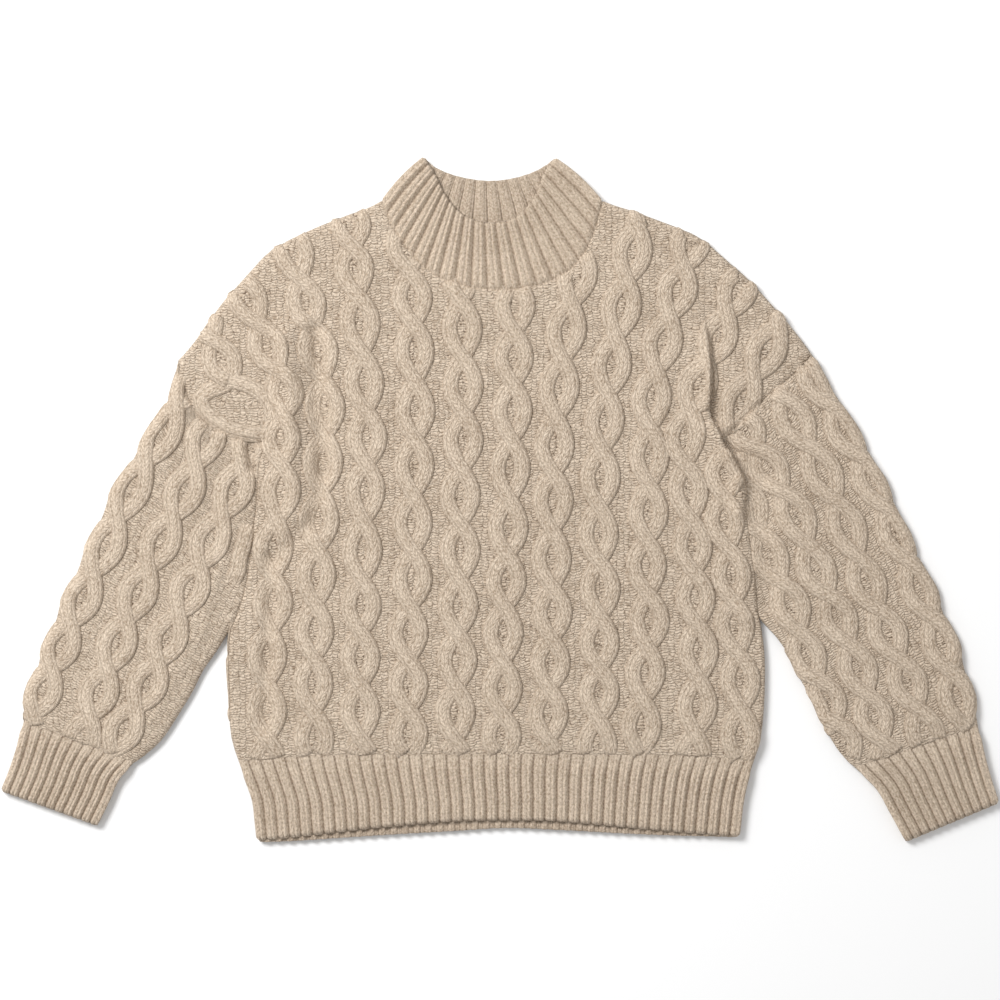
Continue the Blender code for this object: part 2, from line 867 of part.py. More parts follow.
def hem_spot(share, fraction, layer):
    """A place on the hem band: share from left to right, fraction from the seam down."""
    guess = HEM_LEFT + HEM_WIDTH * share
    height = hem_seam(guess) - SEAM_GAP
    height += (read_between(HEM_EDGE, guess, layer) - height) * fraction
    left = read_between(HEM_SIDES, height, 1)
    right = read_between(HEM_SIDES, height, 2)
    return Vector((left + (right - left) * share, height))


def layer_outline(spot, steps):
    """Once round a layer: across the top, down one side, back along the edge and up."""
    parts = [step / steps for step in range(steps)]
    return (
        [spot(part, 0) for part in parts]
        + [spot(1, part) for part in parts[:: steps // 4]]
        + [spot(1 - part, 1) for part in parts]
        + [spot(0, 1 - part) for part in parts[:: steps // 4]]
    )


def build_band(name, front_sheet, back_outline, ribbon):
    """A band of two layers that are joined along its folded sides."""
    front = to_object(slab(front_sheet, JOINED_BASE, False), name + "_upper", cutters)
    knit = new_material(name + "_knit", WOOL)
    solid = to_object(plain_layer(back_outline, 0, BACK_TOP), name, garment, knit)
    combine(solid, front, "UNION")
    combine(solid, space_between(name + "_space", ribbon, cutters, SPACE_LOW), "DIFFERENCE")


def hem_front_spot(share, fraction):
    return hem_spot(share, fraction, 1)


def hem_back_spot(share, fraction):
    place = hem_spot(share, fraction, 2)
    place.x -= LOWER_LAYER_INSET * (2 * share - 1)
    place.y -= LOWER_LAYER_INSET * (1 - fraction)
    return place


hem_columns = [[hem_front_spot(share, part / 8) for part in range(9)] for share in (0, 1)]
hem_seams = [[hem_front_spot(step / 24, 0) for step in range(25)]]
hem_front = ribbed_sheet(HEM_RIBS, HEM_ROWS, hem_front_spot, hem_columns, hem_seams)
beyond_hem = Vector((0, SPACE_BEYOND))
hem_ribbon = []
for share, inward in ((0, 1), (1, -1)):
    line = [hem_front_spot(share, part / 4) + Vector((inward * FOLD_INSET, 0)) for part in range(5)]
    hem_ribbon.append([line[0] + beyond_hem] + line + [line[-1] - beyond_hem])
build_band("hem_band", hem_front, layer_outline(hem_back_spot, 24), hem_ribbon)


# x and height along the neckband's open edge: the front's, and the back's behind it
COLLAR_FRONT_EDGE = (
    (-75, 688),
    (-64, 670),
    (-57, 655),
    (-48, 642),
    (-39, 633),
    (-25, 626),
    (-10, 623),
    (12, 627),
    (28, 640),
    (37, 655),
    (43, 671),
    (54, 687),
)
COLLAR_BACK_EDGE = (
    (-75, 688),
    (-67, 680),
    (-50, 672),
    (-30, 667),
    (-10, 665),
    (10, 667),
    (30, 672.5),
    (45, 680),
    (54, 687),
)
STEEP_GAP = 1.6  # more room where the neckline is steep
COLLAR_BOW = 2.5  # how far its folded sides bow outwards
COLLAR_RIBS = 19
COLLAR_ROWS = 5


def collar_spot(share, fraction, seam_path, edge_path):
    """A place on the neckband: share along its seam, fraction from the seam to the open edge."""
    seam = walk(seam_path, share)
    edge = walk(edge_path, share)
    along = (edge - seam).normalized()
    steep = min(max((abs(2 * share - 1) - 0.45) / 0.55, 0), 1)
    gap = SEAM_GAP + STEEP_GAP * math.sin(math.pi * steep)
    place = (seam + along * gap).lerp(edge, fraction)
    bow = COLLAR_BOW * math.sin(math.pi * fraction)
    place += Vector((-0.7, 0.7)) * bow * max(0.0, 1 - share * 6)
    place += Vector((0.66, 0.75)) * bow * max(0.0, 1 - (1 - share) * 6)
    return place


NECK_FRONT_PATH = with_lengths(NECK_FRONT)
NECK_BACK_PATH = with_lengths(NECK_BACK)
COLLAR_FRONT_PATH = with_lengths(COLLAR_FRONT_EDGE)
COLLAR_BACK_PATH = with_lengths(COLLAR_BACK_EDGE)


def collar_front_spot(share, fraction):
    return collar_spot(share, fraction, NECK_FRONT_PATH, COLLAR_FRONT_PATH)


def collar_back_spot(share, fraction):
    place = collar_spot(share, fraction, NECK_BACK_PATH, COLLAR_BACK_PATH)
    place.x -= LOWER_LAYER_INSET * (2 * share - 1)
    return place


collar_columns = [[collar_front_spot(share, part / 6) for part in range(7)] for share in (0, 1)]
collar_seams = [[collar_front_spot(step / 24, 0) for step in range(25)]]
collar_front = ribbed_sheet(COLLAR_RIBS, COLLAR_ROWS, collar_front_spot, collar_columns, collar_seams)
COLLAR_SPACE = (
    ((-126, 530), (-123, 643), (-107, 651), (-97, 661), (-87, 671), (-76, 680), (-66, 690), (-60, 710)),
    ((110, 530), (107, 643), (91, 651), (79, 660), (68, 669), (57, 678), (46, 690), (40, 710)),
)
collar_ribbon = [[Vector(point) for point in line] for line in COLLAR_SPACE]
build_band("neckband", collar_front, layer_outline(collar_back_spot, 24), collar_ribbon)
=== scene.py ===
# %% [markdown]
# # A chunky cable knit sweater, laid flat
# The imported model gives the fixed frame: front, back, two sleeves and four ribbed bands. This file
# dresses it as real knitting. The plain ground of each panel is one thin shell, every cable is two
# strands that really pass over and under each other, and every rib is raised in the mesh.
# Lengths below are in millimetres: x from the middle line, height up from the lowest corner.

# %% Load the frame
import math

import bmesh
import bpy
import numpy as np
from mathutils import Matrix


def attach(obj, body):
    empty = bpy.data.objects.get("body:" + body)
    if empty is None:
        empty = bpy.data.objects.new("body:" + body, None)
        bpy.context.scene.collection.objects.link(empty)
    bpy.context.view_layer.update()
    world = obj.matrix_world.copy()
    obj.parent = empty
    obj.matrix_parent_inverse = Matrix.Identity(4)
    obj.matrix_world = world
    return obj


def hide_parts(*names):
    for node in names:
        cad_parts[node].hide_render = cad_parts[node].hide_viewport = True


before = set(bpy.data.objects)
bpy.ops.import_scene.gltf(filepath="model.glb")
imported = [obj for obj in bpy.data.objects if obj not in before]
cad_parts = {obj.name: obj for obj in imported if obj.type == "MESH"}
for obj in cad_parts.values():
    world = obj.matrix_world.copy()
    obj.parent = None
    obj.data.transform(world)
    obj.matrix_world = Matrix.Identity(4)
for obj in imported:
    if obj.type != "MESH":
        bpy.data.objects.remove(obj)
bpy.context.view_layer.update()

MM = 0.001
HALF_HEIGHT = 345.5  # from the lowest corner up to the frame's middle

# %% [markdown]
# ## Sizes of the knitting
# A knitter works from a chart: how far apart the cables stand, at which rows they open and cross,
# and the outline of each panel. Short tables hold the same facts here, one row for each section.

# %% Thicknesses and cables
MIDDLE = 5.9  # height of the folded edges, where the two layers meet
FRONT_DEPTH = 4.5  # from there up to the knit ground of the front
BACK_DEPTH = 3.4  # and down to that of the back
WALL = 2.4  # thickness of the knit ground
TUCK_REACH = 11.0  # how far beside a deep fold the cloth rises or drops
TUCK_EDGE = 2.2  # how sharp its edge is
FOLD_REACH = 9.0  # width over which the cloth rolls down to a free folded edge
PRESSED_REACH = 5.5  # the same where body and sleeve press on each other
SHARP_REACH = 3.5  # and of the right side, which lies over the sleeve
SEAM_REACH = 6.0  # over which creases fade towards a seam
FLOOR_CLEAR = 0.1  # what presses on the floor is flattened towards this height
FLOOR_EASE = 0.35  # from this far above it
TUCK = 1.2  # how far one panel's edge is tucked under the next at a seam

STRAND_HALF = 8.0  # half the width of a strand
STRAND_SWING = 12.4  # how far its middle swings from the middle of the cable
CABLE_RISE = 4.1
CROSSING_LEAN = 1.1  # the strand on top rises by this, the one below sinks by it
EYE_RISE = 0.8  # of the ground that swells inside a cable's eye
EYE_HALF = (8.0, 17.0)  # half its width and half its height
ROW_HEIGHT = 4.7  # of one row of stitches
PURL_HEIGHT = 2.8  # of one ridge of the ground
STITCH_WIDTH = 6.2
print("a cable is", 2 * (STRAND_HALF + STRAND_SWING), "mm wide and stands", CABLE_RISE, "mm up")

# %% [markdown]
# Each cable is charted by its eyes, the places where its two strands stand apart: x and height of one
# after another, from the hem upwards. Halfway between two eyes the strands cross. Columns bend where
# the cloth was pulled at the armholes, and crowd together at the folded sides.

# %% Eyes of the cables
BODY_EYES = (
    ((-278, 484), (-297, 527)),
    (
        (-233, 82), (-233, 135), (-233, 190), (-227, 243), (-227, 297),
        (-219, 355), (-219, 407), (-216, 453), (-232, 498), (-253, 547),
    ),
    (
        (-186, 107), (-187, 162), (-186, 215), (-184, 270), (-181, 325),
        (-177, 383), (-175, 438), (-182, 495), (-194, 542), (-206, 593),
    ),
    (
        (-139, 81), (-140, 135), (-140, 188), (-139, 240), (-138, 295), (-135, 355),
        (-133, 408), (-136, 463), (-140, 523), (-146, 577), (-149, 620),
    ),
    (
        (-92, 112), (-92, 161), (-92, 213), (-88, 267), (-88, 323),
        (-86, 380), (-85, 435), (-86, 495), (-88, 548), (-94, 600),
    ),
    (
        (-45, 80), (-45, 133), (-43, 186), (-42, 240), (-40, 295),
        (-40, 350), (-37, 405), (-37, 460), (-38, 517), (-40, 572),
    ),
    ((1, 110), (2, 157), (3, 213), (6, 265), (8, 318), (10, 377), (12, 435), (13, 488), (15, 540), (17, 593)),
    (
        (47, 80), (48, 132), (50, 183), (52, 233), (51, 287),
        (53, 345), (54, 400), (59, 458), (66, 515), (77, 570),
    ),
    (
        (97, 100), (99, 153), (99, 203), (100, 257), (98, 312),
        (100, 368), (104, 425), (111, 480), (121, 538), (132, 593), (141, 645),
    ),
    (
        (141, 120), (145, 173), (149, 225), (146, 280), (148, 333),
        (149, 390), (151, 447), (162, 503), (177, 555), (190, 602),
    ),
    (
        (192, 88), (197, 140), (198, 195), (195, 248), (192, 300),
        (188, 355), (184, 408), (197, 460), (217, 508), (237, 555), (255, 600),
    ),
    ((240, 110), (240, 165), (234, 220), (231, 270), (224, 325), (224, 372)),
    ((240, 444), (266, 495), (290, 545)),
)
BACK_EYES = (*BODY_EYES, ((-262, 110), (-263, 163), (-262, 217), (-254, 270), (-247, 325), (-246, 372)))
# By its first eye: turns for which a cable runs on past its first and last eye, where it stops short
SHORT_ENDS = {
    (-262, 110): (0.35, 1),
    (-278, 484): (0.5, 1),
    (47, 80): (1, 0.4),
    (240, 110): (1, 0.5),
    (240, 444): (0.6, 1),
    (342, 103): (0.4, 1),
}
SLEEVE_LEFT_EYES = (
    ((-457, 155), (-439, 200), (-418, 247), (-394, 300), (-369, 356), (-338, 412), (-308, 467)),
    ((-418, 107), (-401, 153), (-383, 202), (-362, 253), (-339, 304), (-315, 355), (-294, 407), (-274, 457)),
    ((-376, 117), (-352, 161), (-332, 208), (-310, 257), (-290, 305), (-266, 357), (-248, 405)),
)
SLEEVE_RIGHT_EYES = (
    ((470, 95), (457, 148), (441, 202), (419, 257), (396, 313), (372, 365), (345, 415), (318, 465)),
    ((425, 113), (407, 163), (387, 213), (366, 263), (346, 318), (322, 373), (294, 425), (268, 473)),
    (
        (388, 83), (373, 129), (357, 177), (337, 228), (316, 275),
        (295, 330), (268, 377), (245, 415), (222, 453),
    ),
    ((342, 103), (326, 145), (306, 190), (290, 240), (268, 290), (248, 340)),
)
print(len(BODY_EYES), "columns of eyes on the front,", sum(map(len, BODY_EYES)), "eyes")

# %% [markdown]
# The outline of a panel is read off the laid garment, a place for each turn of its edge. Smooth curves
# will run through these few places, so the edges stay soft however finely they are cut up.

# %% Outlines of front and back
# height, left side, right side, from the hem seam to the underarm
SIDES = (
    (82, -260.7, 253.2),
    (90, -263.6, 256.0),
    (97, -266, 258.5),
    (115, -270, 262),
    (145, -270.5, 264.5),
    (185, -272, 265),
    (215, -270, 262),
    (235, -262, 258),
    (265, -254, 256),
    (305, -249, 251),
    (345, -244, 245.5),
    (359, -243, 248),
    (378, -242, 237),
    (404, -238, 223),
)
# x and height along the armholes, from the underarm to the shoulder
ARMHOLE_LEFT = ((-238, 404), (-257, 406), (-275, 412), (-297, 425), (-309, 441), (-317, 462), (-322, 485))
ARMHOLE_RIGHT = ((223, 404), (237, 419), (255, 437), (271, 451), (285, 463), (300, 477), (312, 491))
# x and height along the shoulders, left from armhole to neck and right from neck to armhole
SHOULDER_LEFT = (
    (-322, 485), (-312, 496), (-304, 506), (-290, 526), (-276, 545), (-258, 565), (-240, 585),
    (-230, 595), (-212, 605), (-191, 615), (-167, 625), (-142, 634), (-130, 638.5), (-118, 645),
)
SHOULDER_RIGHT = (
    (102, 645), (112, 641), (133, 634.5), (159, 625), (185, 615), (204, 605), (216, 595),
    (227, 585), (250, 565), (268, 545), (286, 525), (302, 505), (312, 491),
)
# x and height along the necklines of front and back
NECK_FRONT = (
    (-118, 645), (-100, 608), (-70, 575), (-36, 561), (0, 557), (36, 561), (70, 577), (90, 606), (102, 645),
)
NECK_BACK = ((-118, 645), (-80, 618), (-40, 607), (0, 604), (36, 607), (68, 618), (102, 645))
print("shoulders", SHOULDER_RIGHT[-1][0] - SHOULDER_LEFT[0][0], "mm wide")

# %% [markdown]
# Laid cloth is never even. Creases run from the underarms into body and sleeves, the sides swell, and
# one deep fold stands beside the right armhole. A simulation would place them anywhere, so each one is
# given its own place. Those of the hidden back are alike but softer, as it is pressed on the floor.

# %% Creases
# from x and height, to x and height, half width, rise
FRONT_CREASES = (
    (212, 414, 238, 368, 8, 6.5),
    (240, 362, 238, 335, 8, 5.5),
    (240, 325, 247, 230, 9, 2.2),
    (232, 470, 268, 505, 18, 2.0),
    (-183, 515, -181, 442, 8, -6.0),
    (-179, 434, -177, 376, 8, -6.0),
    (-178, 366, -188, 322, 8, -3.4),
    (-188, 322, -229, 285, 9, -2.8),
    (-229, 285, -236, 120, 8, -4.0),
    (-213, 510, -208, 392, 12, 6.5),
    (-207, 378, -205, 330, 11, 3.2),
    (-205, 330, -262, 180, 9, 0.8),
    (-292, 446, -250, 414, 10, 1.6),
    (120, 600, 160, 470, 26, 1.2),
    (-120, 600, -150, 500, 24, 1.2),
)
# Deep folds: places along the line, then rise of the cloth on the left, drop on the right, overlap
FRONT_TUCKS = (
    (((203, 530), (207, 500), (208, 470), (207, 445), (209, 428), (219, 409), (234, 384)), 7.5, 5.4, 5.0),
)
BACK_CREASES = (
    (-60, 560, -190, 380, 18, -1.2),
    (80, 540, 205, 400, 14, -1.4),
    (-215, 380, -235, 190, 12, -1.2),
    (150, 300, 240, 150, 16, -1.1),
    (-20, 260, -110, 110, 20, -0.9),
)
SLEEVE_LEFT_TUCKS = ((((-253, 404), (-252, 394), (-250, 384), (-250, 372)), 1.0, 3.5, 1.0),)
SLEEVE_LEFT_CREASES = (
    (-252, 402, -249, 378, 6, -4.4),
    (-274, 402, -296, 300, 9, -1.2),
    (-266, 318, -296, 214, 5, 1.5),
    (-296, 214, -352, 118, 5, 1.5),
    (-284, 268, -310, 205, 4, 1.3),
    (-310, 205, -360, 122, 4, 1.2),
)
SLEEVE_RIGHT_CREASES = (
    (226, 410, 254, 374, 13, -5.2),
    (254, 374, 259, 335, 15, -5.2),
    (259, 335, 266, 240, 13, -4.0),
)
print(len(FRONT_CREASES), "creases on the front,", len(BACK_CREASES), "on the back")

# %% [markdown]
# ## Reading the chart
# A smooth curve through the rows of a table gives every size between them. The same few helpers
# walk along an edge, find how near a place is to it, and tell whether it lies inside a panel.

# %% Curves through tables


def read_between(rows, at, column=1):
    """One column of a table at places between its rows, on a smooth curve through them."""
    table = np.asarray(rows, float)
    key, value = table[:, 0], table[:, column]
    at = np.clip(np.asarray(at, float), key[0], key[-1])
    low = np.clip(np.searchsorted(key, at) - 1, 0, len(key) - 2)
    before, after = np.maximum(low - 1, 0), np.minimum(low + 2, len(key) - 1)
    span = key[low + 1] - key[low]
    part = (at - key[low]) / span
    slope_low = (value[low + 1] - value[before]) / (key[low + 1] - key[before]) * span
    slope_high = (value[after] - value[low]) / (key[after] - key[low]) * span
    gain = value[low + 1] - value[low]
    bend = (slope_low + slope_high - 2 * gain) * part**3
    turn = (3 * gain - 2 * slope_low - slope_high) * part**2
    return value[low] + slope_low * part + turn + bend


def spot_between(rows, at, column=1):
    """Two columns of a table that hold x and height, as places."""
    return np.stack((read_between(rows, at, column), read_between(rows, at, column + 1)), -1)


def unit(ways):
    """Directions of unit length."""
    return ways / np.linalg.norm(ways, axis=-1, keepdims=True)


def with_lengths(points):
    """Rows of length walked, x and height."""
    spots = np.array(points, float)
    steps = np.linalg.norm(np.diff(spots, axis=0), axis=1)
    return np.column_stack((np.append(0, np.cumsum(steps)), spots))


def walk(path, share):
    """The places at shares of a path's length."""
    return spot_between(path, path[-1, 0] * np.asarray(share, float))


def sampled(points, count):
    """Evenly spaced places along a curve through some points."""
    return walk(with_lengths(points), np.linspace(0, 1, count + 1))


# %% Distances and outlines


def nearest_on(spots, paths):
    """How far each place is from the nearest of some paths, and where that is."""
    best = np.full(spots.shape[:-1], np.inf)
    where = np.zeros(spots.shape)
    for path in paths:
        for start, end in zip(path[:-1], path[1:]):
            along = end - start
            part = np.clip((spots - start) @ along / (along @ along), 0, 1)
            near = start + part[..., None] * along
            away = np.linalg.norm(spots - near, axis=-1)
            closer = away < best
            best[closer] = away[closer]
            where[closer] = near[closer]
    return best, where


def within(spots, outline):
    """True for the places inside a closed outline."""
    x, height = spots[..., 0], spots[..., 1]
    inside = np.zeros(x.shape, bool)
    for (x0, h0), (x1, h1) in zip(outline, np.roll(outline, -1, axis=0)):
        if h0 != h1:
            crossing = x0 + (height - h0) / (h1 - h0) * (x1 - x0)
            inside ^= ((h0 > height) != (h1 > height)) & (x < crossing)
    return inside


def flat_area(outline):
    """Area inside an outline, in square metres."""
    ahead = np.roll(outline, -1, axis=0)
    return abs(np.sum(outline[:, 0] * ahead[:, 1] - ahead[:, 0] * outline[:, 1])) / 2 * MM**2


def in_metres(x, height, z):
    """Places and heights over the floor as points in Blender's metres."""
    return np.stack((x, height - HALF_HEIGHT, z), -1) * MM


print("left shoulder", round(with_lengths(SHOULDER_LEFT)[-1, 0]), "mm along its edge")

# %% [markdown]
# ## The layers
# Laid flat, each part of the garment is two layers that meet in a rounded fold. A layer knows its
# outline, which of its edges are folds and which are seams, and its creases. One function then puts
# any place on the cloth, at any height over the ground, so a cable that nears a fold bends round it.

# %% Creases and deep folds
TUCK_STEPS = 20  # places along a deep fold
TUCK_FULLNESS = 0.7  # the lower, the sooner it is full from its ends on


def crease_rise(spots, creases):
    """Rise of the cloth from soft troughs and ridges along straight lines."""
    rise = np.zeros(spots.shape[:-1])
    for from_x, from_height, to_x, to_height, half_width, height in creases:
        ridge = np.array(((from_x, from_height), (to_x, to_height)), float)
        away = nearest_on(spots, [ridge])[0] / half_width
        rise += height * np.exp(-away * away)
    return rise


def tuck_shift(spots, tucks):
    """Rise of the cloth along deep folds, and how far it is pushed across them."""
    rise, push = np.zeros(spots.shape[:-1]), np.zeros(spots.shape)
    for points, left_rise, right_drop, overlap in tucks:
        path = sampled(points, TUCK_STEPS)
        ahead = unit(np.gradient(path, axis=0))
        away = spots[..., None, :] - path
        nearest = np.argmin(np.sum(away**2, axis=-1), axis=-1)
        way = ahead[nearest]
        away = np.take_along_axis(away, nearest[..., None, None], axis=-2)[..., 0, :]
        right = np.stack((-way[..., 1], way[..., 0]), -1)
        beside = np.sum(away * right, axis=-1)
        past = np.sum(away * way, axis=-1)
        ends = np.sin(np.pi * np.clip(nearest / TUCK_STEPS, 0.02, 0.98)) ** TUCK_FULLNESS
        ends = ends * np.exp(-((past / TUCK_REACH) ** 2))
        over = 0.5 - 0.5 * np.tanh(beside / TUCK_EDGE)
        near = ends * np.exp(-((beside / TUCK_REACH) ** 2))
        rise += near * (left_rise * over - right_drop * (1 - over))
        push += right * (near * over * overlap)[..., None]
    return rise, push


# %% Seams and heights over a layer
# Along each kind of seam: how deep the cloth dips and over what reach, then how far
# a cable runs on past it, or stops short of it, and over what length it flattens
ARMHOLE_SEAM = (2.4, 4.5, -1, 6)
NECK_SEAM = (2.2, 2.6, 0, 6)
BAND_SEAM = (1.4, 3.0, -2, 18)
DEEPEST = -5.2  # no crease goes further down
VALLEY_PRESS = 0.45  # share of its height that a cable loses in the deepest crease
WRAP = 5.0  # how far a strand that overhangs a fold goes round it
CREASE_FADE = 0.6  # share of a crease that is lost at a seam
FOLD_LEAN = 0.6  # share of its height by which a cable leans outwards on a fold


def pressed(z):
    """Heights eased on to the floor, so that what lies deeper stays under what lies over it."""
    sunk = np.maximum(FLOOR_CLEAR + FLOOR_EASE - z, 0)
    return np.where(sunk > 0, FLOOR_CLEAR + FLOOR_EASE / (1 + sunk / FLOOR_EASE), z)


def on_layer(spots, layer, lift=0.0):
    """Points at a height over a layer's knit ground, in metres."""
    inside = within(spots, layer["outline"])
    share = np.full(spots.shape[:-1], np.inf)
    to_fold, fold_spot = share.copy(), np.zeros(spots.shape)
    for path, reach in layer["folds"]:
        distance, where = nearest_on(spots, [path])
        closer = distance / reach < share
        share[closer] = (distance / reach)[closer]
        to_fold[closer] = distance[closer]
        fold_spot[closer] = where[closer]
    to_seam, groove = np.full(spots.shape[:-1], np.inf), np.zeros(spots.shape[:-1])
    for path, (dip, reach, run_on, taper) in zip(layer["seams"], layer["seam_rules"]):
        distance = nearest_on(spots, [path])[0]
        to_seam = np.minimum(to_seam, distance)
        groove = np.maximum(groove, dip * np.clip(1 - distance / reach, 0, 1))
    over = ~inside & (to_fold < to_seam)
    lean = 1 - np.clip(np.where(over, 0.0, share), 0, 1)
    flat = np.sqrt(1 - lean**2)
    seam = np.clip(1 - to_seam / SEAM_REACH, 0, 1)
    rise, push = tuck_shift(spots, layer["tucks"])
    rise += crease_rise(spots, layer["creases"]) * (1 - CREASE_FADE * seam)
    rise = np.maximum(rise, DEEPEST)
    lift = lift * (1 + VALLEY_PRESS * np.minimum(rise, 0) / -DEEPEST)
    height = (layer["depth"] - groove + rise + lift) * flat
    height -= np.where(over, WRAP * (1 - np.exp(-np.where(over, to_fold, 0.0) / WRAP)), 0.0)
    away = np.where(over[..., None], spots - fold_spot, fold_spot - spots)
    away /= np.maximum(np.linalg.norm(away, axis=-1), 1e-6)[..., None]
    place = np.where(over[..., None], fold_spot, spots)
    place = place + away * (lean * lift * FOLD_LEAN)[..., None] + push * flat[..., None]
    z = pressed(MIDDLE + layer["facing"] * height)
    return in_metres(place[..., 0], place[..., 1], z)


def warp(share, strength=0.55):
    """Moves evenly spaced lines towards both ends, where the cloth is rounded."""
    return share - strength * np.sin(2 * np.pi * share) / (2 * np.pi)


print("3 mm under the floor is pressed to", round(float(pressed(np.array(-3.0))), 2), "mm over it")

# %% [markdown]
# ## Turning a sheet into cloth
# Knitting is a grid of stitches, so each piece starts as Blender's grid. Its points are then moved
# to where the chart puts them, and its UV map counts stitches and rows, so that the stitch pattern of
# the material follows the cloth round every fold and along every strand.

# %% Move a grid into place


def spread(name, across, along, place, copies=1):
    """Grids whose points are moved by place(across, along, copy), with a UV map of stitches."""
    bm = bmesh.new()
    for copy in range(copies):
        where = Matrix.Translation((0.5, 0.5, copy))
        bmesh.ops.create_grid(bm, x_segments=across, y_segments=along, size=0.5, matrix=where)
    mesh = bpy.data.meshes.new(name)
    bm.to_mesh(mesh)
    bm.free()
    grid = np.empty(len(mesh.vertices) * 3, np.float32)
    mesh.vertices.foreach_get("co", grid)
    u, v, copy = grid.reshape(-1, 3).astype(float).T
    u = np.rint(u * across) / across
    v = np.rint(v * along) / along
    points, stitches, eye = place(u, v, np.rint(copy).astype(int))
    mesh.vertices.foreach_set("co", points.astype(np.float32).ravel())
    corners = np.empty(len(mesh.loops), np.int32)
    mesh.loops.foreach_get("vertex_index", corners)
    layer = mesh.uv_layers.new(name="stitches")
    layer.uv.foreach_set("vector", stitches[corners].astype(np.float32).ravel())
    if eye is not None:
        mesh.attributes.new("eye", "FLOAT", "POINT").data.foreach_set("value", eye.astype(np.float32))
    return mesh


# %% Close a piece and turn its faces


def close_up(mesh, join=False, cap=False):
    """Joins the two edges of a rolled-up sheet, closes its ends and turns its faces outwards."""
    bm = bmesh.new()
    bm.from_mesh(mesh)
    if join:
        bmesh.ops.remove_doubles(bm, verts=bm.verts, dist=1e-7)
    if cap:
        open_edges = [edge for edge in bm.edges if edge.is_boundary]
        bmesh.ops.holes_fill(bm, edges=open_edges, sides=0)
    bmesh.ops.recalc_face_normals(bm, faces=bm.faces)
    for face in bm.faces:
        face.smooth = True
    bm.to_mesh(mesh)
    bm.free()


def face_up(mesh, facing):
    """Turns a sheet's faces to the side that is seen."""
    normals = np.empty(len(mesh.polygons) * 3, np.float32)
    mesh.polygons.foreach_get("normal", normals)
    if normals[2::3].sum() * facing < 0:
        mesh.flip_normals()


# %% Put a piece into the scene


def add_piece(mesh, material, wall=None, inside=None):
    """Puts a finished mesh into the scene as a piece that rides on the garment."""
    piece = bpy.data.objects.new(mesh.name, mesh)
    bpy.context.scene.collection.objects.link(piece)
    mesh.materials.append(material)
    if wall:
        solidify = piece.modifiers.new("wall", "SOLIDIFY")
        solidify.thickness = wall * MM
        solidify.offset = -1
        # the inner faces get a second finish; for the bands it is the darker inside wool, painted shade
        if inside:
            mesh.materials.append(inside)
            solidify.material_offset = 1
    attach(piece, "root")
    print(mesh.name, len(mesh.polygons), "faces")
    return piece


# %% [markdown]
# ## Wool
# The yarn is oatmeal wool: pale fibres with brown ones spun in, matt, with a faint bloom of loose
# hairs. Two node groups draw the stitches from the UV map. One draws the V of plain knitting, for
# strands and ribs, the other the bumps of its reverse side, for the ground between the cables.

# %% Node helpers


def new_group(name, inputs, outputs):
    """A shader node group with named sockets of some kind, and its two end nodes."""
    tree = bpy.data.node_groups.new(name, "ShaderNodeTree")
    for label, kind, value in inputs:
        socket = tree.interface.new_socket(label, in_out="INPUT", socket_type="NodeSocket" + kind)
        if value is not None:
            socket.default_value = value
    for label, kind in outputs:
        tree.interface.new_socket(label, in_out="OUTPUT", socket_type="NodeSocket" + kind)
    return tree, tree.nodes.new("NodeGroupInput"), tree.nodes.new("NodeGroupOutput")


def connect(tree, socket, value):
    """Links a socket to another, or sets it to a number."""
    if isinstance(value, bpy.types.NodeSocket):
        tree.links.new(value, socket)
    else:
        socket.default_value = value


def calc(tree, operation, *values, kind="ShaderNodeMath"):
    """A Math node, from numbers or sockets."""
    node = tree.nodes.new(kind)
    node.operation = operation
    for socket, value in zip(node.inputs, values):
        connect(tree, socket, value)
    return node.outputs[0]


def vector_calc(tree, operation, *values):
    """A Vector Math node, from triples or sockets."""
    return calc(tree, operation, *values, kind="ShaderNodeVectorMath")


def parts_of(tree, vector):
    """A vector's first two numbers."""
    split = tree.nodes.new("ShaderNodeSeparateXYZ")
    tree.links.new(vector, split.inputs[0])
    return split.outputs[0], split.outputs[1]


def both_ways(tree, value):
    """From -1 to 1 across each whole step of a value."""
    return calc(tree, "SUBTRACT", calc(tree, "MULTIPLY", calc(tree, "FRACT", value), 2.0), 1.0)


def from_middle(tree, value):
    """From 0 in the middle of each whole step of a value to 1 at its ends."""
    half = calc(tree, "ABSOLUTE", calc(tree, "SUBTRACT", calc(tree, "FRACT", value), 0.5))
    return calc(tree, "MULTIPLY", half, 2.0)


def rounded(tree, value, power):
    """1 at 0, down to 0 at -1 and 1, the later the higher the power."""
    return calc(tree, "SUBTRACT", 1.0, calc(tree, "POWER", calc(tree, "ABSOLUTE", value), power))


def product_of_powers(tree, first, first_power, second, second_power):
    """Two shapes multiplied, each the fuller the lower its power."""
    first = calc(tree, "POWER", first, first_power)
    return calc(tree, "MULTIPLY", first, calc(tree, "POWER", second, second_power))


# %% Patterns to mix from


def soft_step(tree, value, low, high, to_low=0.0, to_high=1.0):
    """A soft rise, or fall, between two values."""
    node = tree.nodes.new("ShaderNodeMapRange")
    node.interpolation_type = "SMOOTHSTEP"
    for label, number in (("Value", value), ("From Min", low), ("From Max", high)):
        connect(tree, node.inputs[label], number)
    node.inputs["To Min"].default_value = to_low
    node.inputs["To Max"].default_value = to_high
    return node.outputs["Result"]


def noise(tree, vector, scale, detail=2.0, output="Fac"):
    """Soft noise, scale for each unit of the vector."""
    node = tree.nodes.new("ShaderNodeTexNoise")
    tree.links.new(vector, node.inputs["Vector"])
    node.inputs["Scale"].default_value = scale
    node.inputs["Detail"].default_value = detail
    return node.outputs[output]


